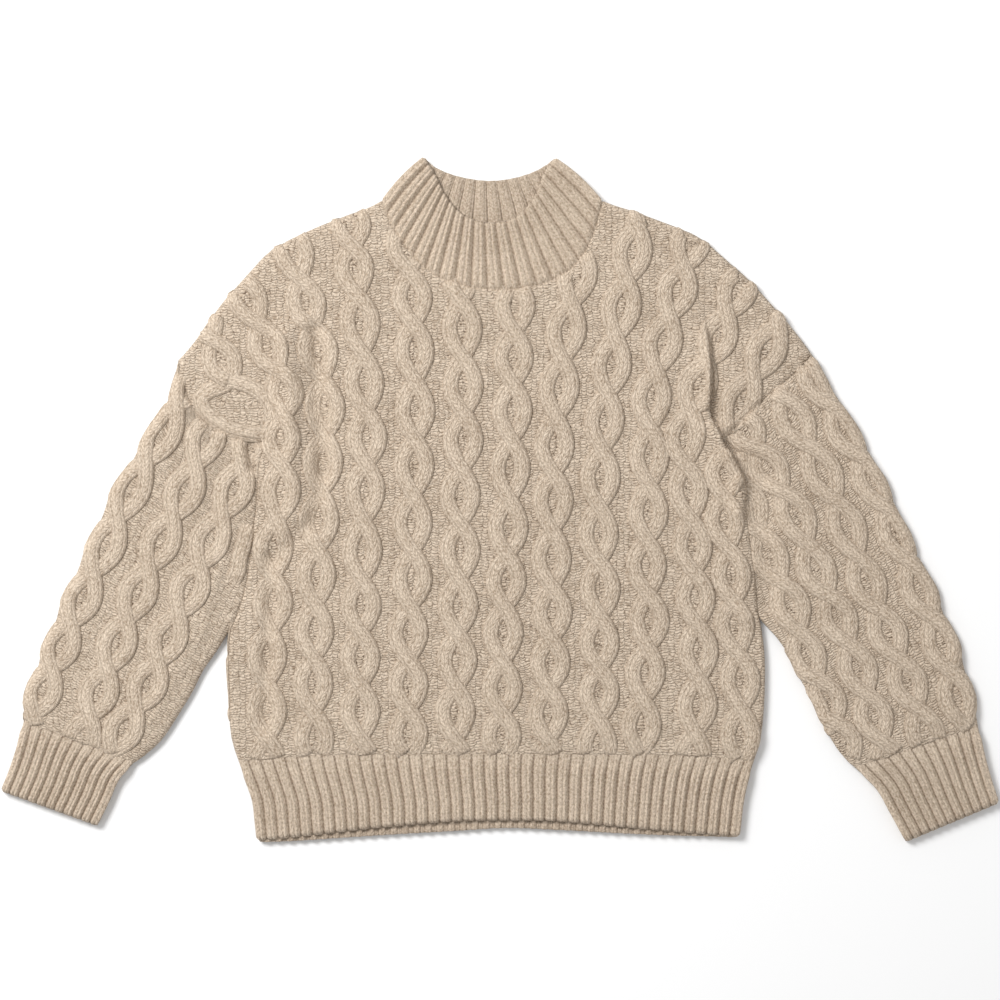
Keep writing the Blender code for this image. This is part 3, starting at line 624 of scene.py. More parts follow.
def cell_tone(tree, column, row):
    """A random number for each stitch."""
    node = tree.nodes.new("ShaderNodeTexWhiteNoise")
    node.noise_dimensions = "2D"
    corner = tree.nodes.new("ShaderNodeCombineXYZ")
    tree.links.new(calc(tree, "FLOOR", column), corner.inputs[0])
    tree.links.new(calc(tree, "FLOOR", row), corner.inputs[1])
    tree.links.new(corner.outputs[0], node.inputs["Vector"])
    return node.outputs["Value"]


# %% [markdown]
# A column of plain knitting shows two legs of yarn in each stitch, leaning apart like a V. The pattern
# is worked out from the stitch count alone, so no picture is needed and it follows every fold. Shade is
# painted between the legs, and as a dotted dark line in the valley between ribs, where the cloth sinks back.

# %% Plain knitting
STITCH_OUTPUTS = (("Height", "Float"), ("Gap", "Float"), ("Tone", "Float"))


def knit_stitches():
    """Columns of V stitches: two legs of yarn lean outwards from the middle of each column, painted shade
    between.
    """
    inputs = (
        ("Stitches", "Vector", None),
        ("Slant", "Float", 1.0),
        ("Leg gap", "Float", 0.5),
        ("Column gap", "Float", 1.0),
        ("Column shift", "Float", 0.0),
        ("Columns in a rib", "Float", 1.0),
        ("Valley start", "Float", 0.66),
    )
    tree, start, end = new_group("knit_stitches", inputs, STITCH_OUTPUTS)
    drift = noise(tree, start.outputs["Stitches"], 0.7, 1.0, "Color")
    wander = vector_calc(tree, "MULTIPLY_ADD", drift, (0.12, 0.5, 0.0), start.outputs["Stitches"])
    column, row = parts_of(tree, wander)
    column = calc(tree, "SUBTRACT", calc(tree, "ADD", column, start.outputs["Column shift"]), 0.06)
    side = from_middle(tree, column)
    leaning = calc(tree, "SUBTRACT", row, calc(tree, "MULTIPLY", side, start.outputs["Slant"]))
    yarn = rounded(tree, both_ways(tree, leaning), 3.0)
    leg = rounded(tree, calc(tree, "SUBTRACT", calc(tree, "MULTIPLY", side, 2.0), 1.0), 4.0)
    height = product_of_powers(tree, yarn, 0.6, leg, 0.6)
    # painted shade: darker between the legs of each V, and dotted along the valley between ribs
    gaps = calc(tree, "MULTIPLY", soft_step(tree, height, 0.1, 0.8, 1.0, 0.0), start.outputs["Leg gap"])
    rib_side = from_middle(tree, calc(tree, "DIVIDE", column, start.outputs["Columns in a rib"]))
    valley = soft_step(tree, rib_side, start.outputs["Valley start"], 1.0)
    dotted = calc(tree, "ADD", calc(tree, "MULTIPLY", calc(tree, "POWER", yarn, 2.0), -0.55), 1.2)
    valley = calc(tree, "MULTIPLY", calc(tree, "MULTIPLY", valley, dotted), start.outputs["Column gap"])
    tree.links.new(height, end.inputs["Height"])
    tree.links.new(calc(tree, "MAXIMUM", gaps, valley), end.inputs["Gap"])
    tree.links.new(cell_tone(tree, calc(tree, "MULTIPLY", column, 2.0), leaning), end.inputs["Tone"])
    return tree


# %% [markdown]
# The ground between the cables is the reverse side of knitting: short ridges across the columns, in
# rows that never line up. Shade is painted between the ridges, and as small dark dots in the holes that
# open inside a cable's eye, where the cloth is stretched.

# %% Purl ground


def purl_stitches():
    """Short ridges in uneven rows, painted shade between them and in small holes in the eyes of the cables.
    """
    inputs = (("Stitches", "Vector", None), ("Eye", "Float", 0.0))
    tree, start, end = new_group("purl_stitches", inputs, STITCH_OUTPUTS)
    even = vector_calc(tree, "MULTIPLY", start.outputs["Stitches"], (STITCH_WIDTH, PURL_HEIGHT, 1.0))
    drift = noise(tree, even, 0.09, 2.0, "Color")
    wander = vector_calc(tree, "MULTIPLY_ADD", drift, (1.9, 2.8, 0.0), start.outputs["Stitches"])
    column, row = parts_of(tree, wander)
    along = both_ways(tree, column)
    shift = tree.nodes.new("ShaderNodeTexWhiteNoise")
    shift.noise_dimensions = "1D"
    tree.links.new(calc(tree, "FLOOR", column), shift.inputs["W"])
    arch = calc(tree, "MULTIPLY", calc(tree, "POWER", calc(tree, "ABSOLUTE", along), 2.0), -0.35)
    row = calc(tree, "ADD", calc(tree, "ADD", row, shift.outputs["Value"]), arch)
    ridge = rounded(tree, both_ways(tree, row), 2.0)
    height = product_of_powers(tree, ridge, 0.7, rounded(tree, along, 6.0), 0.5)
    tree.links.new(height, end.inputs["Height"])
    # patchy painted shade between the ridges, and dark dots of painted shade in the holes inside the eyes
    some = soft_step(tree, noise(tree, even, 0.22, 2.0), 0.4, 0.62, 0.3, 1.6)
    gaps = calc(tree, "MULTIPLY", soft_step(tree, height, 0.05, 0.65, 1.0, 0.0), some)
    dots = tree.nodes.new("ShaderNodeTexVoronoi")
    tree.links.new(even, dots.inputs["Vector"])
    dots.inputs["Scale"].default_value = 0.26
    eye = soft_step(tree, start.outputs["Eye"], 0.0, 0.4, 0.12, 1.0)
    hole_shade = calc(tree, "MULTIPLY", soft_step(tree, dots.outputs["Distance"], 0.14, 0.4, 1.0, 0.0), eye)
    tree.links.new(calc(tree, "ADD", gaps, calc(tree, "MULTIPLY", hole_shade, 1.1)), end.inputs["Gap"])
    tree.links.new(cell_tone(tree, column, row), end.inputs["Tone"])
    return tree


# %% [markdown]
# Oatmeal yarn is spun from pale and brown fibres. Soft clouds of tone run over the whole garment, fine
# flecks sit in the yarn and streaks follow it. Shade is painted into the gaps between stitches, as a
# deep brown.

# %% Heathered wool


def heather():
    """Oatmeal wool: fibres of several shades in soft clouds, fine flecks and streaks, with painted shade in
    gaps.
    """
    inputs = (
        ("Vector", "Vector", None),
        ("Streak", "Float", 0.5),
        ("Gap", "Float", 0.0),
        ("Tone", "Float", 0.5),
        ("Pale", "Color", (0.722, 0.603, 0.478, 1)),
        ("Brown", "Color", (0.35, 0.262, 0.185, 1)),
        # deep brown of the painted shade in the gaps between stitches
        ("Gap shade", "Color", (0.15, 0.1, 0.065, 1)),
        ("Gap shade strength", "Float", 0.6),
    )
    tree, start, end = new_group("heathered_wool", inputs, (("Color", "Color"),))
    place = start.outputs["Vector"]
    parts = (  # what varies the shade, and by how much
        (noise(tree, place, 38.0, 3.0), 0.5),
        (noise(tree, place, 420.0, 2.0), 1.9),
        (noise(tree, place, 1100.0, 2.0), 1.3),
        (start.outputs["Streak"], 1.2),
        (start.outputs["Tone"], 0.16),
    )
    share = 0.4  # of brown in the mix, before the parts shift it
    for value, amount in parts:
        share = calc(tree, "ADD", calc(tree, "MULTIPLY", calc(tree, "SUBTRACT", value, 0.5), amount), share)
    # painted shade: the gaps between stitches are mixed towards the deep brown
    gap = calc(tree, "MULTIPLY", start.outputs["Gap"], start.outputs["Gap shade strength"])
    mixes = []
    for amount, first, second in ((share, "Pale", "Brown"), (gap, None, "Gap shade")):
        mix = tree.nodes.new("ShaderNodeMix")
        mix.data_type = "RGBA"
        mix.clamp_factor = True
        tree.links.new(amount, mix.inputs["Factor"])
        tree.links.new(start.outputs[first] if first else mixes[-1].outputs["Result"], mix.inputs["A"])
        tree.links.new(start.outputs[second], mix.inputs["B"])
        mixes.append(mix)
    tree.links.new(mixes[-1].outputs["Result"], end.inputs["Color"])
    return tree


KNIT, PURL, HEATHER = knit_stitches(), purl_stitches(), heather()
print("node groups:", [group.name for group in (KNIT, PURL, HEATHER)])

# %% [markdown]
# Every finish is the same wool with another stitch drawn on it and painted shade in its gaps; the neck and
# the insides of the bands are darker copies, painted shade. The shader stays matt, with a little sheen
# for the bloom of hairs at grazing angles, and the stitch heights push the light about as relief.

# %% Finishes
MATT_BLOOM = (
    ("Roughness", 0.95),
    ("Specular IOR Level", 0.1),
    ("Sheen Weight", 0.15),
    ("Sheen Roughness", 0.6),
    ("Sheen Tint", (0.9, 0.82, 0.72, 1)),
)


def wool(name, pattern, relief, gap_shade_strength, grain, settings=(), shades=()):
    """A wool finish with one stitch pattern, painted shade in its gaps, relief in millimetres and fibres
    along the grain.
    """
    material = bpy.data.materials.new(name)
    material.use_nodes = True
    tree = material.node_tree
    shader = tree.nodes["Principled BSDF"]
    for label, value in MATT_BLOOM:
        shader.inputs[label].default_value = value
    place = tree.nodes.new("ShaderNodeTexCoord")
    stitches = tree.nodes.new("ShaderNodeUVMap")
    stitches.uv_map = "stitches"
    drawn = tree.nodes.new("ShaderNodeGroup")
    drawn.node_tree = pattern
    tree.links.new(stitches.outputs[0], drawn.inputs["Stitches"])
    for label, value in settings:
        drawn.inputs[label].default_value = value
    if pattern is PURL:
        eye = tree.nodes.new("ShaderNodeAttribute")
        eye.attribute_name = "eye"
        tree.links.new(eye.outputs["Fac"], drawn.inputs["Eye"])
    streak = noise(tree, vector_calc(tree, "MULTIPLY", stitches.outputs[0], grain), 1.0, 2.0)
    colour = tree.nodes.new("ShaderNodeGroup")
    colour.node_tree = HEATHER
    tree.links.new(place.outputs["Object"], colour.inputs["Vector"])
    tree.links.new(streak, colour.inputs["Streak"])
    tree.links.new(drawn.outputs["Gap"], colour.inputs["Gap"])
    tree.links.new(drawn.outputs["Tone"], colour.inputs["Tone"])
    # how strongly shade is painted into the gaps between stitches
    colour.inputs["Gap shade strength"].default_value = gap_shade_strength
    for label, shade in shades:
        colour.inputs[label].default_value = (*shade, 1)
    tree.links.new(colour.outputs[0], shader.inputs["Base Color"])
    fuzz = calc(tree, "MULTIPLY", noise(tree, place.outputs["Object"], 1300.0, 2.0), 0.5)
    fibres = calc(tree, "MULTIPLY", streak, 0.5)
    bump = tree.nodes.new("ShaderNodeBump")
    bump.inputs["Strength"].default_value = 1.0
    bump.inputs["Distance"].default_value = relief * MM
    total = calc(tree, "ADD", drawn.outputs["Height"], calc(tree, "ADD", fuzz, fibres))
    tree.links.new(total, bump.inputs["Height"])
    tree.links.new(bump.outputs[0], shader.inputs["Normal"])
    return material


STRAND_SETTINGS = (("Slant", 1.3), ("Leg gap", 0.35), ("Column gap", 0.6))
RIB_SETTINGS = (
    ("Slant", 1.6), ("Leg gap", 0.4), ("Columns in a rib", 2.0), ("Valley start", 0.68), ("Column gap", 1.3),
)
# the inside of a band: its ribs shifted, with stronger painted shade in the valleys
INSIDE_SETTINGS = (
    ("Slant", 1.2), ("Leg gap", 0.4), ("Columns in a rib", 2.0), ("Valley start", 0.66), ("Column gap", 1.7),
    ("Column shift", 1.5),
)
# the neckband's ribs catch more light, so its wool is darkened: painted shade
NECK_PAINTED_SHADE = (("Pale", (0.68, 0.565, 0.445)),)
# the insides of the bands are darker: painted shade
INSIDE_PAINTED_SHADE = (("Pale", (0.62, 0.51, 0.40)), ("Brown", (0.33, 0.25, 0.18)))
# Streaks to a stitch, across and along
STRAND_GRAIN = (9.0, 0.9, 1.0)
GROUND_GRAIN = (1.2, 3.2, 1.0)
RIB_GRAIN = (7.0, 1.0, 1.0)
# name, stitch, relief, strength of the painted shade in the gaps, grain, settings of the stitch, shades of
# the wool
STRAND_WOOL = wool("strand_wool", KNIT, 0.55, 0.5, STRAND_GRAIN, STRAND_SETTINGS)
GROUND_WOOL = wool("ground_wool", PURL, 0.85, 0.64, GROUND_GRAIN)
RIB_WOOL = wool("rib_wool", KNIT, 0.5, 0.62, RIB_GRAIN, RIB_SETTINGS)
# the neck's wool is darker, painted shade
SHADED_NECK_WOOL = wool("neck_shaded_wool", KNIT, 0.5, 0.5, RIB_GRAIN, RIB_SETTINGS, NECK_PAINTED_SHADE)
# the inner faces of the bands, darker by painted shade
SHADED_INSIDE_WOOL = wool("rib_inside_shaded_wool", KNIT, 0.6, 0.6, RIB_GRAIN, INSIDE_SETTINGS, INSIDE_PAINTED_SHADE)
print("finishes:", [material.name for material in bpy.data.materials])

# %% [markdown]
# ## Front and back panels
# Both panels share the sides, armholes and shoulders. The front has the lower neckline. Rows of the
# grid run from side to side, and near the sides they slide along the edge so that they meet it evenly.

# %% Chart of the body
SIDE_LEFT = [(left, height) for height, left, right in SIDES]
SIDE_RIGHT = [(right, height) for height, left, right in SIDES]
SIDE_LEFT_PATH, SIDE_RIGHT_PATH = with_lengths(SIDE_LEFT), with_lengths(SIDE_RIGHT)
ARMHOLE_LEFT_PATH, ARMHOLE_RIGHT_PATH = with_lengths(ARMHOLE_LEFT), with_lengths(ARMHOLE_RIGHT)
HEM_LEVEL = 90.0  # height of the hem seam on the middle line
HEM_HALF_WIDTH = 260.0
HEM_SAG = 3.0  # how much lower it lies at the sides
CORNER_START = 165.0  # from here outwards its corners drop further
CORNER_DROP = 5.0
PANEL_WARP = 0.4
SIDE_FADE = 3  # the higher, the sooner the curve of a side fades inwards
TOP_FADE = 1.5  # and that of shoulders and neck downwards


def hem_seam(x):
    """Height of the hem seam."""
    outwards = np.clip((np.abs(x) - CORNER_START) / (HEM_HALF_WIDTH - CORNER_START), 0, 1)
    return HEM_LEVEL - HEM_SAG * (x / HEM_HALF_WIDTH) ** 2 - CORNER_DROP * outwards**2


def body_edge(side, up):
    """A place up the side and armhole, by their length."""
    side_path = SIDE_LEFT_PATH if side < 0 else SIDE_RIGHT_PATH
    arm_path = ARMHOLE_LEFT_PATH if side < 0 else ARMHOLE_RIGHT_PATH
    length = up * (side_path[-1, 0] + arm_path[-1, 0])
    low = walk(side_path, length / side_path[-1, 0])
    high = walk(arm_path, (length - side_path[-1, 0]) / arm_path[-1, 0])
    return np.where((length <= side_path[-1, 0])[..., None], low, high)


def panel_spot(across, up, top):
    """A place on a panel: a plain quadrilateral, with what each edge departs from it blended in."""
    across, up = warp(across, PANEL_WARP), warp(up, PANEL_WARP)
    high = walk(top, across)
    first, last = top[0, 1:], top[-1, 1:]
    share = (high[:, :1] - first[0]) / (last[0] - first[0])
    up_share = up[:, None]
    low_left, low_right = SIDE_LEFT_PATH[0, 1:], SIDE_RIGHT_PATH[0, 1:]
    low_x = low_left[0] + (low_right[0] - low_left[0]) * share[:, 0]
    low = np.stack((low_x, hem_seam(low_x)), -1)
    foot, head = low_left + (low_right - low_left) * share, first + (last - first) * share
    spot = foot + (head - foot) * up_share
    spot += (1 - share) ** SIDE_FADE * (body_edge(-1, up) - low_left - (first - low_left) * up_share)
    spot += share**SIDE_FADE * (body_edge(1, up) - low_right - (last - low_right) * up_share)
    return spot + up_share**TOP_FADE * (high - head) + (1 - up_share) * (low - foot)


# %% Stitches and eyes over the ground


def ground_stitches(spots):
    """Stitch and ridge counts of the ground."""
    return np.stack((spots[..., 0] / STITCH_WIDTH, spots[..., 1] / PURL_HEIGHT), -1)


def in_eye(spots, charts):
    """From 1 in the middle of a cable's eye to 0 at its strands."""
    most = np.zeros(spots.shape[:-1])
    for eyes in charts:
        eyes = np.array(eyes, float)
        for eye, way in zip(eyes, unit(np.gradient(eyes, axis=0))):
            away = spots - eye
            along = (away @ way) / EYE_HALF[1]
            beside = (away @ np.array((way[1], -way[0]))) / EYE_HALF[0]
            most = np.maximum(most, 1 - along**2 - beside**2)
    return most


# %% The two layers of the body


def body_layer(neck, facing, depth, creases, tucks=()):
    """Outline, folds and seams of the front or back."""
    hem_x = np.linspace(SIDES[0][1], SIDES[0][2], 25)
    hem = np.stack((hem_x, hem_seam(hem_x)), -1)
    left, right = sampled(SIDE_LEFT, 24), sampled(SIDE_RIGHT, 24)
    arm_left, arm_right = sampled(ARMHOLE_LEFT, 12), sampled(ARMHOLE_RIGHT, 12)
    shoulder_left, shoulder_right = sampled(SHOULDER_LEFT, 20), sampled(SHOULDER_RIGHT, 20)
    neckline = sampled(neck, 24)
    outline = np.concatenate((
        hem[:-1], right[:-1], arm_right[:-1], shoulder_right[:0:-1], neckline[:0:-1],
        shoulder_left[:0:-1], arm_left[:0:-1], left[:0:-1],
    ))
    return {
        "outline": outline,
        "top": with_lengths(np.concatenate((shoulder_left[:-1], neckline[:-1], shoulder_right))),
        "folds": [
            (left, PRESSED_REACH), (right, SHARP_REACH),
            (shoulder_left, FOLD_REACH), (shoulder_right, FOLD_REACH),
        ],
        "seams": [arm_left, arm_right, neckline, hem],
        "seam_rules": [ARMHOLE_SEAM, ARMHOLE_SEAM, NECK_SEAM, BAND_SEAM],
        "creases": creases,
        "tucks": tucks,
        "facing": facing,
        "depth": depth,
    }


FRONT = body_layer(NECK_FRONT, 1, FRONT_DEPTH, FRONT_CREASES, FRONT_TUCKS)
BACK = body_layer(NECK_BACK, -1, BACK_DEPTH, BACK_CREASES)
print("front", round(flat_area(FRONT["outline"]), 3), "m2, back", round(flat_area(BACK["outline"]), 3), "m2")

# %% Knit ground of front and back


def panel(name, layer, across, along):
    """The knit ground of the front or back, as a grid of so many columns and rows."""

    def place(u, v, copy):
        spots = panel_spot(u, v, layer["top"])
        eye = in_eye(spots, BODY_EYES)
        return on_layer(spots, layer, EYE_RISE * np.sqrt(np.maximum(eye, 0))), ground_stitches(spots), eye

    mesh = spread(name, across, along, place)
    face_up(mesh, layer["facing"])
    mesh.polygons.foreach_set("use_smooth", np.ones(len(mesh.polygons), bool))
    return add_piece(mesh, GROUND_WOOL, WALL)


front = panel("front_ground", FRONT, across=215, along=190)
back = panel("back_ground", BACK, across=130, along=110)

# %% [markdown]
# ## Cables
# A knitter makes a cable by swapping two groups of stitches on a spare needle, always the same way
# round. Here each group is a strand: a flattened tube swept along a wave, with a groove between its
# three columns of stitches. Where two strands cross, one rises and the other sinks under it.

# %% Section of a strand
TOP_STEPS = 12  # round the upper side of a strand
UNDER_STEPS = 3
STRAND_STITCHES = 3
GROOVE = 0.1  # between them, as a share of the lift
SECTION_ROUND = 0.55  # the lower, the squarer its shoulders
UNDERSIDE = -0.3  # as a share of the lift
STRAND_SINK = 0.5  # its edges stand this deep in the ground
FOLD_MARGIN = 3.5  # its middle stays this far inside a fold

steps = np.arange(TOP_STEPS + UNDER_STEPS + 1)
arch = np.clip(steps, 0, TOP_STEPS) * math.pi / TOP_STEPS
SECTION_OUT = np.cos(arch)
SECTION_UP = np.sin(arch) ** SECTION_ROUND
SECTION_UP[TOP_STEPS // STRAND_STITCHES:TOP_STEPS:TOP_STEPS // STRAND_STITCHES] -= GROOVE
SECTION_OUT[TOP_STEPS + 1:] = np.linspace(-1, 1, UNDER_STEPS + 1)[1:]
SECTION_UP[TOP_STEPS + 1:-1] = UNDERSIDE
SECTION_UP[-1] = SECTION_UP[0]
print("section:", SECTION_UP.round(2))

# %% Path of a strand
CHART_STEPS = 600  # places tried along a strand, to find where it enters and leaves its panel
END_FADE = 12  # a strand sinks over the last 1/12 turn
END_LIFT = 0.3  # share of its lift at the very end


def cable_path(eyes, way, facing, layer, rows):
    """Centre line and lift of one strand, cut where it leaves its panel."""
    first = eyes[0]
    eyes = np.array(eyes, float)
    eyes = np.vstack((2 * eyes[0] - eyes[1], eyes, 2 * eyes[-1] - eyes[-2]))
    chart = np.column_stack((np.arange(len(eyes)), eyes))

    def strand(turn):
        centre = spot_between(chart, turn)
        ahead = unit(np.gradient(centre, axis=0))
        swing = way * facing * STRAND_SWING * np.cos(np.pi * turn)
        return centre + np.stack((ahead[:, 1], -ahead[:, 0]), -1) * swing[:, None]

    before, after = SHORT_ENDS.get(first, (1, 1))
    turn = np.linspace(1 - before, len(eyes) - 2 + after, CHART_STEPS)
    spots = strand(turn)
    kept = within(spots, layer["outline"])
    for seam, (dip, reach, run_on, taper) in zip(layer["seams"], layer["seam_rules"]):
        away = nearest_on(spots, [seam])[0]
        if run_on < 0:
            kept &= away > -run_on
        else:
            kept |= away < run_on
    turn = np.linspace(turn[kept][0], turn[kept][-1], rows + 1)
    spots = strand(turn)
    share = np.clip(np.minimum(turn - turn[0], turn[-1] - turn) * END_FADE, 0, 1)
    for seam, (dip, reach, run_on, taper) in zip(layer["seams"], layer["seam_rules"]):
        share = np.minimum(share, (nearest_on(spots, [seam])[0] + min(run_on, 0)) / taper)
    lift = CABLE_RISE + way * CROSSING_LEAN * np.sin(np.pi * turn)
    lift = lift * (END_LIFT + (1 - END_LIFT) * np.clip(share, 0, 1))
    to_fold, fold_spot = nearest_on(spots, [path for path, reach in layer["folds"]])
    over = ~within(spots, layer["outline"]) & (to_fold < nearest_on(spots, layer["seams"])[0])
    signed = np.where(over, -to_fold, to_fold)
    inwards = (spots - fold_spot) / np.maximum(to_fold, 1e-6)[:, None] * np.sign(signed)[:, None]
    short = np.maximum(FOLD_MARGIN - signed, 0)
    return spots + inwards * short[:, None], lift


# %% Sweep the section along the paths
STITCH_OFFSET = 0.37  # of a row, from the stitches of one strand to those of the next


def strands(name, paths, layer):
    """Closed tubes along several strands, as one mesh."""
    centre = np.array([path[0] for path in paths])
    lift = np.array([path[1] for path in paths])
    ahead = unit(np.gradient(centre, axis=1))
    beside = np.stack((ahead[..., 1], -ahead[..., 0]), -1)
    rows = centre.shape[1] - 1
    steps_round = TOP_STEPS + UNDER_STEPS
    travelled = np.cumsum(np.linalg.norm(np.diff(centre, axis=1, prepend=centre[:, :1]), axis=-1), axis=1)

    def place(u, v, copy):
        step, row = np.rint(u * steps_round).astype(int), np.rint(v * rows).astype(int)
        spots = centre[copy, row] + beside[copy, row] * (SECTION_OUT[step] * STRAND_HALF)[:, None]
        up = SECTION_UP[step] * lift[copy, row] - STRAND_SINK
        rows_along = travelled[copy, row] / ROW_HEIGHT + STITCH_OFFSET * copy
        stitches = np.stack((step / TOP_STEPS * STRAND_STITCHES, rows_along), -1)
        return on_layer(spots, layer, up), stitches, None

    mesh = spread(name, steps_round, rows, place, len(paths))
    close_up(mesh, join=True, cap=True)
    return add_piece(mesh, STRAND_WOOL)


def cables(name, charts, layer, rows, more=()):
    """Both strands of every cable of a panel."""
    paths = [cable_path(eyes, way, layer["facing"], layer, rows) for eyes in charts for way in (1, -1)]
    return strands(name, paths + list(more), layer)


# %% [markdown]
# At the left underarm the last cable of the body opens into one wide loop, pulled flat along the
# armhole seam. Its two strands are drawn through a few places, like any cord's.

# %% Cables of front and back
LOOP_RIGHT = ((-286, 478), (-270, 466), (-254, 461), (-240, 453), (-231, 442), (-228, 430), (-234, 417))
LOOP_LEFT = (
    (-262, 474), (-274, 461), (-289, 455), (-299, 446), (-292, 431),
    (-273, 418), (-253, 412), (-238, 411), (-226, 414),
)
TIP_LENGTH = 8  # such a strand tapers over an eighth of its length
TIP_LIFT = 0.15  # share of its lift at the tips


def plain_strand(points, lift, rows):
    """Centre line and lift of a strand through a few places."""
    spots = walk(with_lengths(points), np.linspace(0, 1, rows + 1))
    to_end = np.minimum(np.arange(rows + 1), rows - np.arange(rows + 1))
    return spots, lift * np.clip(to_end / (rows / TIP_LENGTH), TIP_LIFT, 1)


FRONT_ROWS = 180  # sections along each strand of the front
loop = [plain_strand(LOOP_LEFT, 2.8, FRONT_ROWS), plain_strand(LOOP_RIGHT, 3.6, FRONT_ROWS)]
front_cables = cables("front_cables", BODY_EYES, FRONT, FRONT_ROWS, more=loop)
back_cables = cables("back_cables", BACK_EYES, BACK, rows=110)

# %% [markdown]
# ## Sleeves
# A sleeve is a tube that tapers to the cuff. Laid flat it has a fold on each side, and cables run
# down both layers. Places on it are a share of the way down and a distance in from the outer fold.

# %% Chart of the sleeves
BOW_REACH = 0.35  # share of the length over which the curve of the armhole fades
SLEEVE_SCALLOP = 1.6  # how far the outer fold swings with the eyes of the cable beside it
SCALLOP_PART = 4  # it does so over a quarter of the width
PRESSED_IN = 2.2  # how far its inner fold is pushed under the body's
PRESSED_UNTIL = 0.56  # down to this share of the length
EASE = 12  # both start and end over a twelfth of the length
INTO_BODY = (0.7, 0.71)  # way from the sleeve into the body, x and height
SLEEVE_LEFT = {
    "side": -1,
    "outer": (
        (-322, 485), (-328, 455), (-337, 440), (-354, 410), (-387, 355),
        (-412.5, 300), (-437.5, 245), (-457.5, 195), (-474, 150), (-476.8, 123),
    ),
    "inner": (
        (-238, 404), (-242, 375), (-244, 345), (-249, 305), (-254, 265), (-262, 235), (-270, 217),
        (-283, 195), (-297, 175), (-307, 155), (-319, 135), (-339, 105), (-358, 88), (-367, 82),
    ),
    "armhole": ARMHOLE_LEFT,
    "eyes": SLEEVE_LEFT_EYES,
    "creases": SLEEVE_LEFT_CREASES,
    "tucks": SLEEVE_LEFT_TUCKS,
}
SLEEVE_RIGHT = {
    "side": 1,
    "outer": (
        (312, 491), (321, 473), (331, 453), (345, 437), (356.5, 415), (383.5, 365),
        (408.5, 310), (434, 257), (457, 203), (473, 152), (478.5, 118),
    ),
    "inner": (
        (223, 404), (236, 378), (244, 358), (243, 345), (250, 305), (254, 265), (257, 235), (264, 223),
        (279, 205), (292, 185), (301, 165), (313, 145), (322, 125), (332, 105), (347, 85), (356, 77),
    ),
    "armhole": ARMHOLE_RIGHT,
    "eyes": SLEEVE_RIGHT_EYES,
    "creases": SLEEVE_RIGHT_CREASES,
    "tucks": (),
}
for sleeve in (SLEEVE_LEFT, SLEEVE_RIGHT):
    for edge in ("outer", "inner", "armhole"):
        sleeve[edge + "_path"] = with_lengths(sleeve[edge])
    print("sleeve", round(sleeve["outer_path"][-1, 0]), "mm long outside,", len(sleeve["eyes"]), "cables")

# %% Places on a sleeve


def sleeve_width(sleeve, down):
    """Width laid flat, a share of the way down."""
    return np.linalg.norm(walk(sleeve["inner_path"], down) - walk(sleeve["outer_path"], down), axis=-1)


def sleeve_spot(sleeve, down, share):
    """A place a share of the way down and across, from the outer fold to the inner."""
    outer, inner = walk(sleeve["outer_path"], down), walk(sleeve["inner_path"], down)
    inner[..., 0] -= sleeve["side"] * PRESSED_IN * np.clip((PRESSED_UNTIL - down) * EASE, 0, 1)
    across = unit(inner - outer)
    first_eyes = np.array(sleeve["eyes"][0], float)
    first_eyes = first_eyes[np.argsort(first_eyes[:, 1])]
    turn = np.interp(outer[..., 1], first_eyes[:, 1], np.arange(len(first_eyes)))
    ends = np.clip(np.minimum(down, 1 - down) * EASE, 0, 1)
    bump = SLEEVE_SCALLOP * ends * np.cos(2 * np.pi * turn) * np.clip(1 - share * SCALLOP_PART, 0, 1)
    spot = outer + (inner - outer) * share[..., None] - across * bump[..., None]
    seam = walk(sleeve["armhole_path"], 1 - share)
    first, last = sleeve["outer_path"][0, 1:], sleeve["inner_path"][0, 1:]
    into = np.array((-sleeve["side"] * INTO_BODY[0], INTO_BODY[1]))
    tuck = into * TUCK * np.sin(np.pi * np.clip(share, 0, 1))[..., None]
    bow = np.clip(1 - down / BOW_REACH, 0, 1) ** 2
    return spot + (seam + tuck - first - (last - first) * share[..., None]) * bow[..., None]


FOLD_SPOTS = 41  # places along each of its folds
PRESSED_SPOTS = 22  # of which so many press on the body
END_SPOTS = 13  # places across its ends


def sleeve_layer(sleeve, facing, depth):
    """Outline, folds and seams of the upper or lower layer of a sleeve."""
    down, across = np.linspace(0, 1, FOLD_SPOTS), np.linspace(0, 1, END_SPOTS)
    outer = sleeve_spot(sleeve, down, np.zeros(FOLD_SPOTS))
    inner = sleeve_spot(sleeve, down, np.ones(FOLD_SPOTS))
    ends = [sleeve_spot(sleeve, np.full(END_SPOTS, end), across) for end in (0.0, 1.0)]
    return {
        "outline": np.concatenate((ends[0][:-1], inner[:-1], ends[1][:0:-1], outer[:0:-1])),
        "folds": [
            (outer, FOLD_REACH),
            (inner[:PRESSED_SPOTS], PRESSED_REACH),
            (inner[PRESSED_SPOTS - 1:], FOLD_REACH),
        ],
        "seams": ends,
        "seam_rules": [ARMHOLE_SEAM, BAND_SEAM],
        "creases": sleeve["creases"] if facing > 0 else (),
        "tucks": sleeve["tucks"] if facing > 0 else (),
        "facing": facing,
        "depth": depth,
    }


# %% Sleeve tubes and their cables


